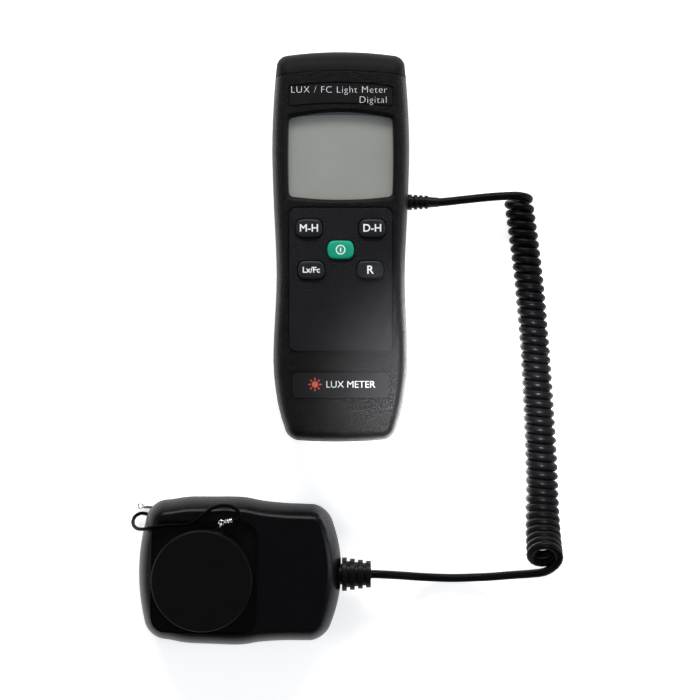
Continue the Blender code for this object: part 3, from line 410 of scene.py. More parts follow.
def smooth_table(u, table):
    """Cubic interpolation through (place, value) pairs."""
    last = len(table) - 1
    k = next((i for i in range(last) if u <= table[i + 1][0]), last - 1)
    slope = []
    for i in (k, k + 1):
        before, after = table[max(i - 1, 0)], table[min(i + 1, last)]
        slope.append((after[1] - before[1]) / (after[0] - before[0]))
    (u0, v0), (u1, v1) = table[k], table[k + 1]
    span = u1 - u0
    t = min(max((u - u0) / span, 0.0), 1.0)
    from_first = v0 * (1 + 2 * t) * (1 - t) ** 2 + span * slope[0] * t * (1 - t) ** 2
    return from_first + v1 * t * t * (3 - 2 * t) - span * slope[1] * t * t * (1 - t)


def rounded_corner(a, corner, b, steps):
    """Points between a and b on a Bezier curve that rounds off the corner."""
    ca, cb = a + (corner - a) * ROUNDING, b + (corner - b) * ROUNDING
    points = []
    for i in range(1, steps):
        t = i / steps
        s = 1 - t
        points.append(s**3 * a + 3 * s * s * t * ca + 3 * s * t * t * cb + t**3 * b)
    return points


def case_outline(half_length, widths, inset, ends, side_steps=26, corner_steps=8, end_steps=8):
    """(across, along) points of a case with waisted sides, bowed ends and round corners.

    ends holds, for the low end and the high end, (inset factor, bow, bow width, corner size).
    """

    def end_line(across, which):
        factor, bow, bow_width, _ = ends[which]
        far = half_length - inset * factor - bow * (across / bow_width) ** 2
        return Vector((across, far if which else -far))

    def side(along):
        return Vector((smooth_table(along / MM, widths) * MM - inset, along))

    def corner_of(which):
        reach = half_length - inset * ends[which][0]
        return end_line(side(reach if which else -reach).x, which)

    low_corner, high_corner = corner_of(0), corner_of(1)
    sizes = [max(ends[k][3] - inset * 0.6, 1.6 * MM) for k in (0, 1)]
    low_side, high_side = side(low_corner.y + sizes[0]), side(high_corner.y - sizes[1])
    low_end = end_line(low_corner.x - sizes[0], 0)
    high_end = end_line(high_corner.x - sizes[1], 1)
    right = [end_line(low_end.x * i / end_steps, 0) for i in range(end_steps)]
    right += [low_end] + rounded_corner(low_end, low_corner, low_side, corner_steps)
    for i in range(side_steps + 1):
        right.append(side(low_side.y + (high_side.y - low_side.y) * i / side_steps))
    right += rounded_corner(high_side, high_corner, high_end, corner_steps)
    right += [end_line(high_end.x * (end_steps - i) / end_steps, 1) for i in range(end_steps + 1)]
    left = [Vector((-p.x, p.y)) for p in reversed(right[1:-1])]
    return [(p.x, p.y) for p in right + left]


def bowed_rectangle(centre, half, bulge, corner, steps=8):
    """A rounded rectangle with bowed sides; bulge is for the sides, the top and the bottom."""
    hx, hy = half

    def quarter(bulge_y):
        a = Vector((hx - bulge[0], hy - bulge_y - corner))
        b = Vector((hx - bulge[0] - corner, hy - bulge_y))
        points = [(hx, 0.0)]
        for i in range(1, steps):
            t = i / steps
            points.append((hx - bulge[0] * t * t * 0.8, t * a.y))
        round_part = rounded_corner(a, Vector((a.x, b.y)), b, steps)
        points += [tuple(p) for p in [a, *round_part, b]]
        for i in range(1, steps):
            t = 1 - i / steps
            points.append((b.x * t, hy - bulge_y * t * t))
        return points

    upper, lower = quarter(bulge[1]), quarter(bulge[2])
    top = upper + [(0.0, hy)] + [(-x, y) for x, y in reversed(upper[1:])] + [(-hx, 0.0)]
    bottom = [(-x, -y) for x, y in lower[1:]] + [(0.0, -hy)] + [(x, -y) for x, y in reversed(lower[1:])]
    return [(centre[0] + x, centre[1] + y) for x, y in top + bottom]


def rounded_rectangle(centre, half, corner, steps=8):
    points = []
    for quadrant, (sx, sy) in enumerate(((1, 1), (-1, 1), (-1, -1), (1, -1))):
        middle = (centre[0] + sx * (half[0] - corner), centre[1] + sy * (half[1] - corner))
        for i in range(steps + 1):
            a = math.pi / 2 * (quadrant + i / steps)
            points.append((middle[0] + corner * math.cos(a), middle[1] + corner * math.sin(a)))
    return points


def tube(name, points, radius, sides=12):
    """A round tube whose rings are carried along the path without twisting."""
    tangents = []
    for i in range(len(points)):
        tangents.append((points[min(i + 1, len(points) - 1)] - points[max(i - 1, 0)]).normalized())
    normal = tangents[0].orthogonal().normalized()
    rings = []
    for i, (point, tangent) in enumerate(zip(points, tangents)):
        normal = (normal - tangent * normal.dot(tangent)).normalized()
        across = tangent.cross(normal)
        ring = []
        for k in range(sides):
            a = 2 * math.pi * k / sides
            ring.append(point + (normal * math.cos(a) + across * math.sin(a)) * radius)
        rings.append(ring)
    return loft(name, rings)


# ---------------------------------------------------------------- cords

CORD_RADIUS = 1.75 * MM
COIL = [
    (73.6, 21.4, 6.2), (74.0, 17.4, 6.2), (77.6, -10.0, 6.2), (80.2, -38.0, 6.35), (82.0, -66.0, 6.6),
    (83.1, -88.0, 6.8), (83.5, -100.2, 6.9),
]
COIL_RISE = math.radians(55)
COIL_RISE_RADIUS = 33.0
COIL_END_RADIUS = 7.6
LEAD_FROM_HANDSET = [
    (37.5, 18.5, 15.0), (40.6, 18.5, 15.0), (44.0, 18.8, 14.6), (52.0, 19.8, 12.9), (62.0, 20.9, 11.3),
    (69.5, 21.4, 10.8),
]
LEAD_TO_SENSOR = [
    (9.5, -134.7, 12.0), (12.9, -134.7, 12.0), (16.0, -134.8, 11.6), (24.0, -135.5, 8.6), (33.0, -136.5, 4.6),
    (42.0, -137.1, 2.4), (48.0, -137.2, 2.2), (55.0, -136.9, 3.2), (62.0, -136.4, 5.2),
    (70.5, -135.4, 8.6), (75.0, -134.9, 10.6), (78.4, -134.5, 12.1), (84.0, -133.4, 14.9),
]
TURNS_LYING = 32.76  # turns side by side along the floor
TURNS_RISING = 8.6  # turns at the sensor's end, where the curly part bends up
FIRST_TURN_OPEN = 0.8  # how far the first turn is pulled open, in millimetres
FLOOR_CLEARANCE = 0.1  # how far the turns stay above the floor, in millimetres
STEPS_PER_TURN = 18
TETHER_RADIUS = 0.75 * MM
TETHER = [
    (-77.7, -107.6, 1.9), (-76.3, -107.8, 3.2), (-74.6, -108.2, 4.8), (-72.6, -108.5, 5.3),
    (-70.4, -108.2, 5.5), (-68.4, -109.2, 5.5), (-67.9, -111.2, 5.5), (-69.1, -113.2, 5.4),
    (-71.4, -113.6, 5.3), (-74.2, -112.6, 5.2), (-77.4, -111.4, 4.9), (-80.4, -110.5, 3.8),
    (-83.2, -110.2, 2.4), (-85.4, -111.3, 3.4), (-86.1, -113.0, 7.0), (-85.4, -114.6, 12.0),
    (-83.4, -115.5, 17.2), (-80.6, -115.4, 21.8), (-77.6, -114.7, 24.5), (-74.4, -114.0, 24.4),
    (-70.8, -113.7, 23.3), (-66.8, -113.6, 22.8), (-62.9, -113.3, 23.8), (-59.4, -112.0, 25.3),
    (-55.8, -109.2, 25.6), (-52.4, -106.7, 25.6), (-48.8, -105.5, 25.4), (-45.0, -105.7, 25.4),
    (-42.0, -107.5, 25.5), (-41.0, -109.8, 25.7), (-42.0, -111.2, 25.8), (-43.6, -111.65, 25.65),
]


def lying_turns():
    """A function from a turn's number to its centre and radius, where the curly part lies down."""
    count = 800
    spread = curve_points(COIL, count)
    length = path_length(spread)

    def at(turn):
        reach = (length - FIRST_TURN_OPEN) * turn / TURNS_LYING + FIRST_TURN_OPEN * min(turn, 1.0)
        place = min(reach / length, 1.0) * (count - 1)
        i = min(int(place), count - 2)
        spot = spread[i].lerp(spread[i + 1], place - i)
        return Vector((spot.x, spot.y, spot.z + FLOOR_CLEARANCE)), spot.z - CORD_RADIUS / MM

    return at


def coil_points():
    """The curly part's centreline, from the top of its first turn, over towards +X and underneath."""
    lying = lying_turns()
    end_radius = lying(TURNS_LYING)[1]
    total = TURNS_LYING + TURNS_RISING
    steps = int(total * STEPS_PER_TURN)
    points = []
    for step in range(steps + 1):
        turn = total * step / steps
        centre, radius = lying(min(turn, TURNS_LYING))
        share = max(turn - TURNS_LYING, 0.0) / TURNS_RISING
        rise = COIL_RISE * share
        centre += Vector((0, -math.sin(rise), 1 - math.cos(rise))) * COIL_RISE_RADIUS
        radius += (COIL_END_RADIUS - CORD_RADIUS / MM - end_radius) * share
        above = Vector((0, math.sin(rise), math.cos(rise)))
        a = math.pi / 2 - 2 * math.pi * turn
        points.append(centre + (Vector((1, 0, 0)) * math.cos(a) + above * math.sin(a)) * radius)
    return points


def joined_path():
    """One smooth centreline from the handset's gland to the sensor head's gland, in metres.

    Each lead is drawn smoothly into the curly part, and gives way to it just before they meet.
    """
    coil = coil_points()
    first = curve_points([Vector(p) for p in LEAD_FROM_HANDSET] + [coil[0], coil[3], coil[5]], 30)
    start = [p for p in first if p.x < coil[0].x - 0.9]
    back = [Vector(p) for p in reversed(LEAD_TO_SENSOR)]
    last = curve_points([coil[-5], coil[-3], coil[-1], *back], 62)
    end = [p for p in last if p.x < coil[-1].x - 1.2]
    return [p * MM for p in start + coil + end]


def add_cord():
    """The curly cord between the two bodies, and the tether of the dust cap."""
    path = joined_path()
    cord = tube("curly_cord", path, CORD_RADIUS)
    solids = ("cord_lead_handset", "cord_coil", "cord_lead_sensor")
    piece(cord, None, JACKET, solids, smooth_angle=60)
    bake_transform(cord)
    tether_path = [p * MM for p in curve_points(TETHER, 110)]
    tether = tube("cap_tether", tether_path, TETHER_RADIUS)
    piece(tether, None, TETHER_MATERIAL, ("tether_cord",), smooth_angle=60)
    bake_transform(tether)


add_cord()

# ---------------------------------------------------------------- handset

HANDSET_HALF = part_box("top_end_cap")[1].y
HANDSET_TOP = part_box("front_shell")[1].z
HANDSET_WIDTHS = [
    (-80, 20.8), (-73, 23.55), (-63, 26.1), (-47, 27.75), (-12, 26.4),
    (20, 27.65), (42, 28.2), (65, 27.2), (80, 25.7),
]
FRONT_WALL = [(0.0, 15.0), (0.3, 21.5), (1.2, 26.0), (2.6, 28.8), (4.8, 30.0)]
FRONT_INSIDE = [(2.0, 15.0), (2.4, 21.5), (3.4, 26.0), (5.2, 28.0)]
REAR_WALL = [(0.0, 15.0), (0.5, 8.0), (1.6, 3.2), (3.2, 0.9), (5.2, 0.0)]
REAR_INSIDE = [(2.0, 15.0), (2.6, 8.0), (4.0, 3.8), (6.5, 2.0)]
NOSE_SLOPE = 2.0
NOSE_JOINT = 71.0 * MM
NOSE_SAG = 2.4 * MM
WINDOW_CENTRE = 36.45 * MM
WINDOW_HALF = (21.5 * MM, 17.8 * MM)
WINDOW_BULGE = (0.4 * MM, 2.2 * MM, 1.2 * MM)
WINDOW_CORNER = 2.2 * MM
KEYPAD_CENTRE = (0.0, -13.7 * MM)
KEYPAD_HALF = (21.4 * MM, 29.6 * MM)
BADGE_CENTRE = (0.0, -56.5 * MM)
BADGE_HALF = (20.2 * MM, 5.75 * MM)
LABEL_DEPTH = 0.6 * MM
KEY_HALF = (5.45 * MM, 3.75 * MM)
KEYS = {
    "key_max_hold": ("M-H", 4.3),
    "key_data_hold": ("D-H", 4.3),
    "key_unit": ("Lx/Fc", 3.3),
    "key_range": ("R", 4.7),
    "key_power": (None, 0.0),
}
RIM_SETBACK = 0.15  # how far each half's rim stands back from the parting line, in millimetres
KEY_TOP = 31.3
HANDSET_GLAND = (18.5 * MM, 15 * MM)
HANDSET_GLAND_HOLE = 3.6 * MM
CASE_SCREWS = [(-20.5, 62.3), (20.5, 62.3), (-19.4, -62.0), (19.4, -62.0)]


def handset_ring(inset, z):
    """The handset's outline at a height, drawn in by an inset, both in millimetres."""
    slope = NOSE_SLOPE if z > 15 else 1.0
    ends = [(1.0, 0.6 * MM, 17 * MM, 3.5 * MM), (slope, 1.65 * MM, 23 * MM, 3.4 * MM)]
    outline = case_outline(HANDSET_HALF, HANDSET_WIDTHS, inset * MM, ends)
    return [(x, y, z * MM) for x, y in outline]


def shell(name, ring, inside, outside, step, count=14):
    """Half a case: up the inside from its face, over the rim, and back along the outside."""
    inner = [(inset, z + (step if i == 0 else 0)) for i, (inset, z) in enumerate(inside)]
    outer = [(inset, z + (step if i == 0 else 0)) for i, (inset, z) in enumerate(outside)]
    rings = [ring(*s) for s in reversed(inner)] + [ring(*s) for s in profile_points(outer, count)]
    return loft(name, rings)


def nose_region(shift):
    """A generous outline round everything past the bowed line where the end piece begins."""
    xs = [(-34 + 1.7 * i) * MM for i in range(41)]
    edge = [(x, NOSE_JOINT + shift - NOSE_SAG * (x / (28 * MM)) ** 2) for x in xs]
    return edge + [(34 * MM, 95 * MM), (-34 * MM, 95 * MM)]


def arched_label(shrink, steps=24):
    """The top label's outline: its long edges arch like the window's upper edge."""
    half, corner = 21.4 * MM - shrink, 1.2 * MM
    high, high_arch = 66.4 * MM - shrink, 1.5 * MM
    low, low_arch = 57.4 * MM + shrink, 1.3 * MM

    def edge(x, level, arch):
        return Vector((x, level - arch * (x / half) ** 2))

    inner = half - corner
    xs = [inner * (1 - 2 * i / steps) for i in range(steps + 1)]
    upper = [edge(x, high, high_arch) for x in xs]
    lower = [edge(-x, low, low_arch) for x in xs]
    down = Vector((0, corner))
    left_high, left_low = edge(-half, high, high_arch), edge(-half, low, low_arch)
    right_high, right_low = edge(half, high, high_arch), edge(half, low, low_arch)
    points = upper + rounded_corner(upper[-1], left_high, left_high - down, 6) + [left_high - down]
    points += [left_low + down] + rounded_corner(left_low + down, left_low, lower[0], 6) + lower
    points += rounded_corner(lower[-1], right_low, right_low + down, 6) + [right_low + down]
    points += [right_high - down] + rounded_corner(right_high - down, right_high, upper[0], 6)
    return [(p.x, p.y) for p in points]


def key_centre(name):
    low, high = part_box(name)
    return ((low.x + high.x) / 2, (low.y + high.y) / 2)


def key_outline(centre, grow, steps=6):
    half = (KEY_HALF[0] + grow, KEY_HALF[1] + grow)
    corner = min(2.4 * MM, half[1] - 0.35 * MM)
    return bowed_rectangle(centre, half, (0.25 * MM, 0.12 * MM, 0.12 * MM), corner, steps)


def gland_hole(y, z, start, radius):
    """A cutter along +X for the wall that a strain relief passes through."""
    return turned("gland_hole", [(radius, 0), (radius, 20 * MM)], (start, y, z), (1, 0, 0), 32)


def handset_front():
    """The front shell, with its window, three label seats, key holes and half the cord's hole."""
    body = shell("case_front", handset_ring, FRONT_INSIDE, FRONT_WALL, RIM_SETBACK)
    cut(body, prism("nose", nose_region(-GAP / 2), 0, 40 * MM))
    rings = []
    for grow, z in [(0.0, 26.0), (0.0, 28.6), (0.35, 28.9), (1.2, 29.75), (1.45, 30.05), (1.45, 32.0)]:
        half = (WINDOW_HALF[0] + grow * MM, WINDOW_HALF[1] + grow * MM)
        outline = bowed_rectangle((0, WINDOW_CENTRE), half, WINDOW_BULGE, WINDOW_CORNER)
        rings.append([(x, y, z * MM) for x, y in outline])
    cut(body, loft("window", rings))
    floor, above = HANDSET_TOP - LABEL_DEPTH, HANDSET_TOP + MM
    cut(body, prism("label_seat", arched_label(0.0), floor, above))
    cut(body, prism("keypad_seat", rounded_rectangle(KEYPAD_CENTRE, KEYPAD_HALF, 3.0 * MM), floor, above))
    cut(body, prism("badge_seat", rounded_rectangle(BADGE_CENTRE, BADGE_HALF, 2.2 * MM), floor, above))
    for name in KEYS:
        cut(body, prism("key_hole", key_outline(key_centre(name), GAP), 26 * MM, above))
    cut(body, gland_hole(*HANDSET_GLAND, 20 * MM, HANDSET_GLAND_HOLE))
    piece(body, "handset", CASE, ("front_shell",), edge=0.22)


def handset_rear():
    """The rear shell, with screw bosses and the battery bay, which is open for its door."""
    body = shell("case_rear", handset_ring, REAR_INSIDE, REAR_WALL, -RIM_SETBACK)
    cut(body, prism("nose", nose_region(-GAP / 2), -MM, 40 * MM))
    for x, y in CASE_SCREWS:
        place = (x * MM, y * MM, 0)
        boss = turned("boss", [(3.6 * MM, 1.5 * MM), (3.6 * MM, 8.0 * MM)], place, sides=24)
        add(body, boss)
        cut(body, turned("counterbore", [(2.9 * MM, -MM), (2.9 * MM, 6.0 * MM)], place, sides=32))
        cut(body, turned("clearance", [(1.5 * MM, 5 * MM), (1.5 * MM, 9 * MM)], place, sides=16))
    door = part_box("battery_door")
    low, high = door[0], door[1]
    for side in (-1, 1):
        inner, outer = sorted((side * 14.2 * MM, side * 16.0 * MM))
        add(body, box("bay_wall", (inner, -73 * MM, 1.0 * MM), (outer, -16 * MM, 13 * MM)))
    channel = box("channel", (-15.8 * MM, -90 * MM, -MM), (15.8 * MM, high.y + GAP, high.z + GAP))
    groove = box("groove", (low.x - GAP, -90 * MM, 0.6 * MM), (high.x + GAP, high.y + GAP, 1.8 * MM))
    cut(body, channel, groove)
    cut(body, gland_hole(*HANDSET_GLAND, 20 * MM, HANDSET_GLAND_HOLE))
    piece(body, "handset", CASE, ("rear_shell",), edge=0.2)


def handset_nose():
    """The sloping end piece past the display."""
    rear, front = profile_points(REAR_WALL, 12), profile_points(FRONT_WALL, 14)
    sections = [*reversed(rear), *front[1:]]
    body = loft("end_piece", [handset_ring(*s) for s in sections])
    combine(body, prism("region", nose_region(GAP / 2), -MM, 40 * MM), "INTERSECT")
    piece(body, "handset", NOSE, ("top_end_cap",), edge=0.25)


def labels():
    """Thin plates in the case's three seats, with their printing."""
    high = HANDSET_TOP
    low = high - 0.3 * MM
    groove = 2 * GAP
    piece(prism("upper_label", arched_label(groove), low, high - 0.1 * MM), "handset", LABEL,
          ("top_label",), edge=0.12)
    half = (KEYPAD_HALF[0] - groove, KEYPAD_HALF[1] - groove)
    panel = prism("keypad_panel", rounded_rectangle(KEYPAD_CENTRE, half, 2.8 * MM), low, high)
    for name in KEYS:
        cut(panel, prism("key_hole", key_outline(key_centre(name), GAP), low - MM, high + MM))
    piece(panel, "handset", PANEL, ("keypad_overlay",), edge=0.12)
    half = (BADGE_HALF[0] - groove, BADGE_HALF[1] - groove)
    plate = prism("lower_badge", rounded_rectangle(BADGE_CENTRE, half, 1.9 * MM), low, high - 0.15 * MM)
    piece(plate, "handset", LABEL, ("badge_plate",), edge=0.12)
    top = high / MM - 0.1
    lettering("label_words", "LUX / FC Light Meter", 3.9, (18.9, 63.1, top), "handset", PRINT,
              "RIGHT", spacing=1.12, thin=0.09)
    lettering("label_kind", "Digital", 3.9, (18.9, 59.0, top), "handset", PRINT, "RIGHT",
              spacing=1.12, thin=0.09)
    lettering("badge_words", "LUX METER", 3.95, (4.0, -56.3, high / MM - 0.15), "handset",
              GREY_PRINT, spacing=0.98, thin=0.04)
    sun_mark((-10.4 * MM, -56.2 * MM), high - 0.15 * MM)


def sun_mark(centre, low):
    """A plain sun: a disc with eight short rays."""
    bm = bmesh.new()

    def slab(outline):
        lower = [bm.verts.new((x, y, low - 0.02 * MM)) for x, y in outline]
        upper = [bm.verts.new((x, y, low + 0.04 * MM)) for x, y in outline]
        bm.faces.new(reversed(lower))
        bm.faces.new(upper)
        for i in range(len(outline)):
            j = (i + 1) % len(outline)
            bm.faces.new((lower[i], lower[j], upper[j], upper[i]))

    slab(circle(centre, 1.3 * MM, 28))
    for k in range(8):
        a = math.pi / 4 * k
        out, side = Vector((math.cos(a), math.sin(a))), Vector((-math.sin(a), math.cos(a)))
        root = Vector(centre) + out * 1.75 * MM
        tip = Vector(centre) + out * 2.75 * MM
        slab([root - side * 0.3 * MM, tip - side * 0.16 * MM, tip + side * 0.16 * MM, root + side * 0.3 * MM])
    piece(object_from(bm, "badge_sun"), "handset", RED_PRINT)


def power_symbol(centre, z):
    """A ring with an upright bar in its middle."""
    ring = torus("power_ring", (*centre, z), UP, 1.75 * MM, 0.22 * MM, 40, 8)
    upright = rounded_rectangle(centre, (0.24 * MM, 0.85 * MM), 0.12 * MM, 3)
    bar = prism("power_bar", upright, z - 0.1 * MM, z + 0.1 * MM)
    lift = Matrix.Translation((0, 0, z))
    for obj in (ring, bar):
        obj.data.transform(lift @ Matrix.Scale(0.35, 4, UP) @ lift.inverted())
        piece(obj, "key_power", PRINT)


def keys():
    """Five key caps: a flange under the case, a shaft through its hole, and a crowned top."""
    steps = [
        (-1.4, 24.9), (-1.4, 26.9), (0.8, 26.9), (0.8, 27.7), (0.0, 27.7), (0.0, 30.55), (-0.06, 30.8),
        (-0.22, 31.0), (-0.48, 31.15), (-0.85, 31.24), (-1.5, 31.29), (-2.4, KEY_TOP),
    ]
    for name, (legend, size) in KEYS.items():
        centre = key_centre(name)
        rings = [[(x, y, z * MM) for x, y in key_outline(centre, grow * MM, 10)] for grow, z in steps]
        green = name == "key_power"
        piece(loft(name + "_cap", rings), name, GREEN if green else KEY, (name,))
        if green:
            power_symbol(centre, KEY_TOP * MM)
        else:
            place = (centre[0] / MM, centre[1] / MM - 0.05, KEY_TOP)
            lettering(name + "_legend", legend, size, place, name, PRINT, bold=0.07)


def display():
    """The clear window, the LCD panel under it, and a dark printed frame round the glass, made wider along
    its top as painted shade from the window's lip.
    """
    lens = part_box("display_window")
    half = ((lens[1].x - lens[0].x) / 2, (lens[1].y - lens[0].y) / 2)
    outline = bowed_rectangle((0, WINDOW_CENTRE), half, WINDOW_BULGE, WINDOW_CORNER)
    window = prism("window_lens", outline, lens[0].z, lens[1].z)
    piece(window, "handset", LENS, ("display_window",), edge=0.1)
    low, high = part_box("lcd_panel")
    glass = rounded_rectangle((0, WINDOW_CENTRE), ((high.x - low.x) / 2, (high.y - low.y) / 2), 0.4 * MM)
    piece(prism("lcd_glass", glass, low.z, high.z), "handset", LCD, ("lcd_panel",), edge=0.15)
    outer = rounded_rectangle((0, WINDOW_CENTRE), (22.0 * MM, 18.6 * MM), 0.6 * MM)
    border_and_shade = prism("glass_edge_print_and_painted_shade", outer, high.z, high.z + 0.12 * MM)
    # The opening sits lower and flatter at its top than the window. This leaves a wider dark band along the
    # glass's top edge, which is painted shade as well as print.
    middle, bulge = (0, WINDOW_CENTRE - 0.4 * MM), (0.3 * MM, 0.9 * MM, 1.0 * MM)
    inner = bowed_rectangle(middle, (21.2 * MM, 17.2 * MM), bulge, 0.9 * MM)
    cut(border_and_shade, prism("opening", inner, high.z - MM, high.z + MM))
    piece(border_and_shade, "handset", LABEL)


def ribbed_gland(name, start, ribs, rib_radii, rib_pitch, neck, end, body, stands_for):
    """A strain relief along +X: a neck in the wall, ribs with grooves between, and a tapered tail.

    neck holds its depth in the wall, its radius, and the radius of the flange behind the wall.
    """
    x = start[0]
    neck_depth, neck_radius, flange_radius = neck
    profile = [
        (flange_radius, -neck_depth - 1.8 * MM), (flange_radius, -neck_depth), (neck_radius, -neck_depth),
        (neck_radius, GAP),
    ]
    for k in range(ribs):
        radius = rib_radii[0] + (rib_radii[1] - rib_radii[0]) * k / (ribs - 1)
        low = GAP + rib_pitch * k
        profile += [(radius, low), (radius, low + rib_pitch * 0.6)]
        if k < ribs - 1:
            profile += [(radius * 0.78, low + rib_pitch * 0.6), (radius * 0.78, low + rib_pitch)]
    profile += [(CORD_RADIUS + 0.5 * MM, profile[-1][1]), (CORD_RADIUS + 0.15 * MM, end - x)]
    piece(turned(name, profile, start, (1, 0, 0), 48), body, RUBBER, stands_for, edge=0.18)


def glands():
    """The strain reliefs where the cord leaves the handset and the sensor head."""
    wall = smooth_table(HANDSET_GLAND[0] / MM, HANDSET_WIDTHS) * MM
    ribbed_gland("cord_gland", (wall, *HANDSET_GLAND), 4, (3.2 * MM, 2.75 * MM), 2.2 * MM,
                 (2.9 * MM, 3.2 * MM, 4.2 * MM), 40.3 * MM, "handset", ("handset_strain_relief",))
    ribbed_gland("sensor_gland", (0.2 * MM, *HEAD_GLAND), 4, (6.9 * MM, 5.5 * MM), 3.3 * MM,
                 (4.9 * MM, 4.3 * MM, 5.3 * MM), 12.6 * MM, "sensor_head", ("sensor_strain_relief",))


# ---------------------------------------------------------------- sensor head

HEAD_CENTRE = Vector((-41.5 * MM, -133.25 * MM))
HEAD_TURN = Matrix.Rotation(-0.02, 2)
HEAD_HALF = 41.7 * MM
HEAD_GLAND = (-134.7 * MM, 12 * MM)
HEAD_GLAND_HOLE = 4.7 * MM
HEAD_WIDTHS = [
    (-42, 28.2), (-30, 28.8), (-22, 30.1), (-12, 30.4), (1, 30.45), (9, 29.1),
    (18, 28.35), (25, 28.2), (32, 28.1), (42, 27.8),
]
HEAD_FRONT_WALL = [(0.0, 12.0), (0.9, 16.0), (2.4, 20.0), (4.1, 22.7), (6.2, 24.0)]
HEAD_FRONT_INSIDE = [(2.0, 12.0), (3.0, 16.5), (6.2, 19.5)]
HEAD_REAR_WALL = [(0.0, 12.0), (0.5, 6.5), (2.0, 1.9), (5.0, 0.0)]
HEAD_REAR_INSIDE = [(2.0, 12.0), (2.6, 6.5), (5.8, 2.0)]
HEAD_SCREWS = [(-76.2, -122.0), (-76.2, -146.0), (-13.0, -115.0), (-13.0, -153.0)]
RECESS_CENTRE = (-55.7 * MM, -134.9 * MM)
RECESS_HALF = (21.7 * MM, 23.0 * MM)
EYE = Vector((-56.3 * MM, -135.9 * MM, 0.0))
CAP_RADIUS = 20.6 * MM
LUG_OUT = Vector((math.cos(math.radians(71.5)), math.sin(math.radians(71.5)), 0))
LUG_HOLE = CAP_RADIUS + 1.3 * MM


def head_ring(inset, z):
    """The sensor head's outline at a height, turned so that its length runs along X."""
    ends = [(1.0, 2.6 * MM, 21 * MM, 6.0 * MM), (1.0, 2.85 * MM, 18 * MM, 5.6 * MM)]
    outline = case_outline(HEAD_HALF, HEAD_WIDTHS, inset * MM, ends)
    spots = [HEAD_CENTRE + HEAD_TURN @ Vector((along, -across)) for across, along in outline]
    return [(spot.x, spot.y, z * MM) for spot in spots]


def head_front():
    """The sensor head's front shell, with the round collar that the dust cap closes."""
    body = shell("head_front", head_ring, HEAD_FRONT_INSIDE, HEAD_FRONT_WALL, RIM_SETBACK)
    corners = rounded_rectangle((0, 0), RECESS_HALF, 6.5 * MM)
    recess = [Vector(RECESS_CENTRE) + HEAD_TURN @ Vector(p) for p in corners]
    cut(body, prism("recess", recess, 21.5 * MM, 30 * MM))
    add(body, turned("collar", [(18.9 * MM, 20 * MM), (18.9 * MM, 24.7 * MM)], EYE, sides=96))
    cut(body, turned("bore", [(16.3 * MM, 15 * MM), (16.3 * MM, 30 * MM)], EYE, sides=96))
    cut(body, gland_hole(*HEAD_GLAND, -12 * MM, HEAD_GLAND_HOLE))
    piece(body, "sensor_head", HEAD, ("sensor_front_shell",), edge=0.25)


def head_rear():
    """The sensor head's rear shell, with screw bosses and the pocket that the tether leaves by."""
    body = shell("head_rear", head_ring, HEAD_REAR_INSIDE, HEAD_REAR_WALL, -RIM_SETBACK, 12)
    for x, y in HEAD_SCREWS:
        place = (x * MM, y * MM, 0)
        add(body, turned("boss", [(3.4 * MM, 1.5 * MM), (3.4 * MM, 7.0 * MM)], place, sides=24))
        cut(body, turned("counterbore", [(2.8 * MM, -MM), (2.8 * MM, 5.0 * MM)], place, sides=32))
        cut(body, turned("clearance", [(1.5 * MM, 4 * MM), (1.5 * MM, 9 * MM)], place, sides=16))
    walls = box("walls", (-75.6 * MM, -116.4 * MM, 1.5 * MM), (-65.1 * MM, -106.0 * MM, 8.9 * MM))
    rear = [head_ring(*s) for s in reversed(profile_points(HEAD_REAR_WALL, 8))]
    combine(walls, loft("case", rear), "INTERSECT")
    add(body, walls)
    cut(body, box("pocket", (-73.6 * MM, -114.9 * MM, 3.6 * MM), (-66.6 * MM, -107.2 * MM, 7.4 * MM)))
    cut(body, box("mouth", (-86 * MM, -114.9 * MM, 3.6 * MM), (-70 * MM, -100 * MM, 7.4 * MM)))
    cut(body, box("notch", (-82 * MM, -109.3 * MM, -MM), (-73.9 * MM, -100 * MM, 7.4 * MM)))
    cut(body, gland_hole(*HEAD_GLAND, -12 * MM, HEAD_GLAND_HOLE))
    piece(body, "sensor_head", HEAD, ("sensor_rear_shell",), edge=0.2)


def dust_cap():
    """A shallow round cap, hollow underneath, with a drilled lug for its tether."""
    low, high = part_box("sensor_cap")[0].z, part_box("sensor_cap")[1].z
    profile = [
        (CAP_RADIUS - 0.15 * MM, low), (CAP_RADIUS, low + 0.15 * MM), (CAP_RADIUS, high - 1.0 * MM),
        (CAP_RADIUS - 0.10 * MM, high - 0.55 * MM), (CAP_RADIUS - 0.35 * MM, high - 0.2 * MM),
        (CAP_RADIUS - 0.75 * MM, high),
    ]
    body = turned("dust_cap", profile, EYE, sides=128)
    lug = circle(EYE + LUG_OUT * (CAP_RADIUS + 0.5 * MM), 1.9 * MM, 32)
    add(body, prism("lug", lug, 24.0 * MM, 25.0 * MM))
    cut(body, turned("inside", [(19.3 * MM, low - MM), (19.3 * MM, high - 1.3 * MM)], EYE, sides=96))
    cut(body, prism("hole", circle(EYE + LUG_OUT * LUG_HOLE, 0.65 * MM, 20), 20 * MM, 30 * MM))
    piece(body, "cap", CAP, ("sensor_cap",), edge=0.12)


def dome():
    """The white diffuser: a hollow dome on a round foot."""

    def crown(radius, low, rise, steps):
        """(radius, height) pairs up a quarter ellipse, stopping just short of its top."""
        angles = [math.pi / 2 * k / (steps + 0.5) for k in range(1, steps + 1)]
        return [(radius * math.cos(a), low + rise * math.sin(a)) for a in angles]

    outer = [(18.2, 17.7), (18.2, 19.2), (15.9, 19.2), (15.9, 24.2)] + crown(15.9, 24.2, 5.0, 20)
    inner = [(14.4, 17.0), (14.4, 24.0)] + crown(14.4, 24.0, 3.6, 12)
    body = turned("white_dome", [(r * MM, z * MM) for r, z in outer], EYE, sides=96)
    cut(body, turned("hollow", [(r * MM, z * MM) for r, z in inner], EYE, sides=64))
    piece(body, "sensor_head", DOME, ("diffuser_dome",), edge=0.15)


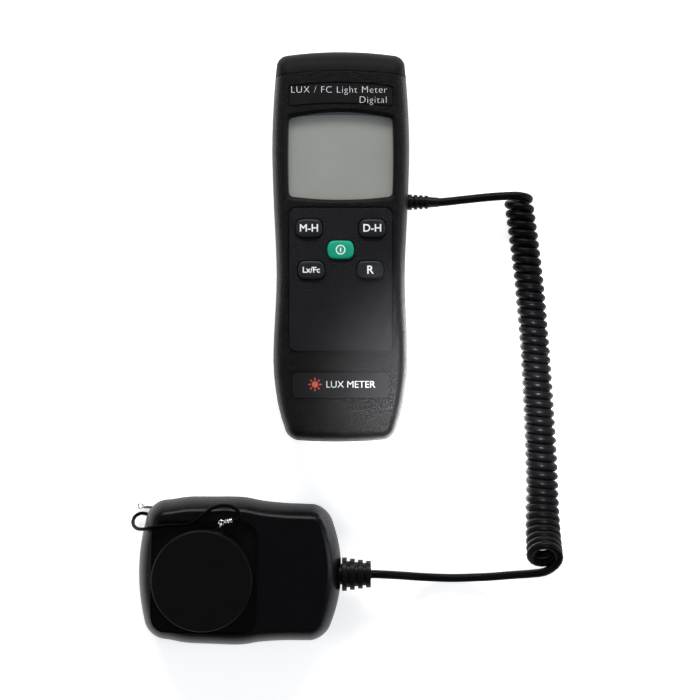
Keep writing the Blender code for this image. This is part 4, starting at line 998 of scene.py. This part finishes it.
def fittings():
    """The tether's ferrules, each with an eye, and the ring through the cap's lug."""
    ends = {
        "outer_ferrule": ((-82.6, -107.3, 1.45), (-78.5, -107.55, 1.5), "sensor_head", "housing_ferrule"),
        "lug_ferrule": ((-47.7, -112.45, 25.15), (-43.9, -111.7, 25.6), "cap", "cap_ferrule"),
    }
    for name, (eye_end, cord_end, body, node) in ends.items():
        eye_end, cord_end = Vector(eye_end) * MM, Vector(cord_end) * MM
        along = eye_end - cord_end
        length = along.length
        shape = [(0.88, 0.0), (1.08, 0.12), (1.1, 0.3), (1.1, 1.1), (0.95, 1.25), (0.95, 1.5), (1.1, 1.65)]
        profile = [(r * MM, h * MM) for r, h in shape]
        profile += [(1.1 * MM, length - 0.7 * MM), (0.9 * MM, length - 0.3 * MM), (0.45 * MM, length)]
        ferrule = turned(name, profile, cord_end, along, 32)
        add(ferrule, torus("eye", eye_end + along.normalized() * 0.9 * MM, UP, 1.0 * MM, 0.3 * MM))
        piece(ferrule, body, NICKEL, (node,))
    centre = EYE + LUG_OUT * (LUG_HOLE + 1.4 * MM) + Vector((0, 0, 24.5 * MM))
    ring = torus("lug_ring", centre, LUG_OUT.cross(UP), 1.4 * MM, 0.3 * MM)
    piece(ring, "cap", NICKEL, ("cap_ring",))


# ---------------------------------------------------------------- floor and lights


def add_floor():
    """A large sheet of plain pale paper."""
    mesh = bpy.data.meshes.new("floor")
    mesh.from_pydata([(-4, -4, 0), (4, -4, 0), (4, 4, 0), (-4, 4, 0)], [], [(0, 1, 2, 3)])
    floor = bpy.data.objects.new("floor", mesh)
    bpy.context.scene.collection.objects.link(floor)
    paper = surface("floor_paper", (0.90, 0.90, 0.90), 0.85, grain=(0.6, 0.004), mottle=(60.0, 0.004),
                    specular=0.1)
    shader = paper.node_tree.nodes["Principled BSDF"]
    shader.inputs["Emission Color"].default_value = (1, 1, 1, 1)
    shader.inputs["Emission Strength"].default_value = FLOOR_GLOW
    mesh.materials.append(paper)


def add_light(name, place, size, power, colour=(1, 1, 1), target=(0.0, -0.04, 0.0)):
    """A soft rectangle of light, aimed at the middle of the object."""
    data = bpy.data.lights.new(name, "AREA")
    data.shape = "RECTANGLE"
    data.size, data.size_y = size
    data.energy = power
    data.color = colour
    light = bpy.data.objects.new(name, data)
    light.location = place
    light.rotation_euler = (Vector(target) - Vector(place)).to_track_quat("-Z", "Y").to_euler()
    bpy.context.scene.collection.objects.link(light)


def add_pool(name, place, target, size, power):
    """A round pool of light with a soft edge; size is its cone's angle in degrees."""
    data = bpy.data.lights.new(name, "SPOT")
    data.spot_size = math.radians(size)
    data.spot_blend = 1.0
    data.shadow_soft_size = 0.020
    data.energy = power
    light = bpy.data.objects.new(name, data)
    light.location = place
    light.rotation_euler = (Vector(target) - Vector(place)).to_track_quat("-Z", "Y").to_euler()
    bpy.context.scene.collection.objects.link(light)


def add_lights():
    add_light("back_key", (0.0, 1.25, 0.75), (1.4, 0.35), 27)
    add_light("right_strip", (1.2, -0.1, 0.40), (0.25, 1.0), 7, (0.75, 0.86, 1.0))
    add_light("left_fill", (-1.2, -0.2, 0.7), (0.5, 1.2), 3.0)
    add_pool("near_pool", (0.060, -0.110, 1.05), (0.053, -0.066, 0.03), 6.8, 330.0)
    bpy.context.scene.view_settings.view_transform = "Standard"
    world = bpy.data.worlds.new("studio")
    world.use_nodes = True
    background = world.node_tree.nodes["Background"]
    background.inputs["Color"].default_value = (0.97, 0.98, 1.0, 1.0)
    background.inputs["Strength"].default_value = 0.24
    bpy.context.scene.world = world


handset_front()
handset_rear()
handset_nose()
labels()
keys()
display()
glands()
head_front()
head_rear()
dust_cap()
dome()
fittings()
add_floor()
add_lights()

bpy.context.view_layer.update()
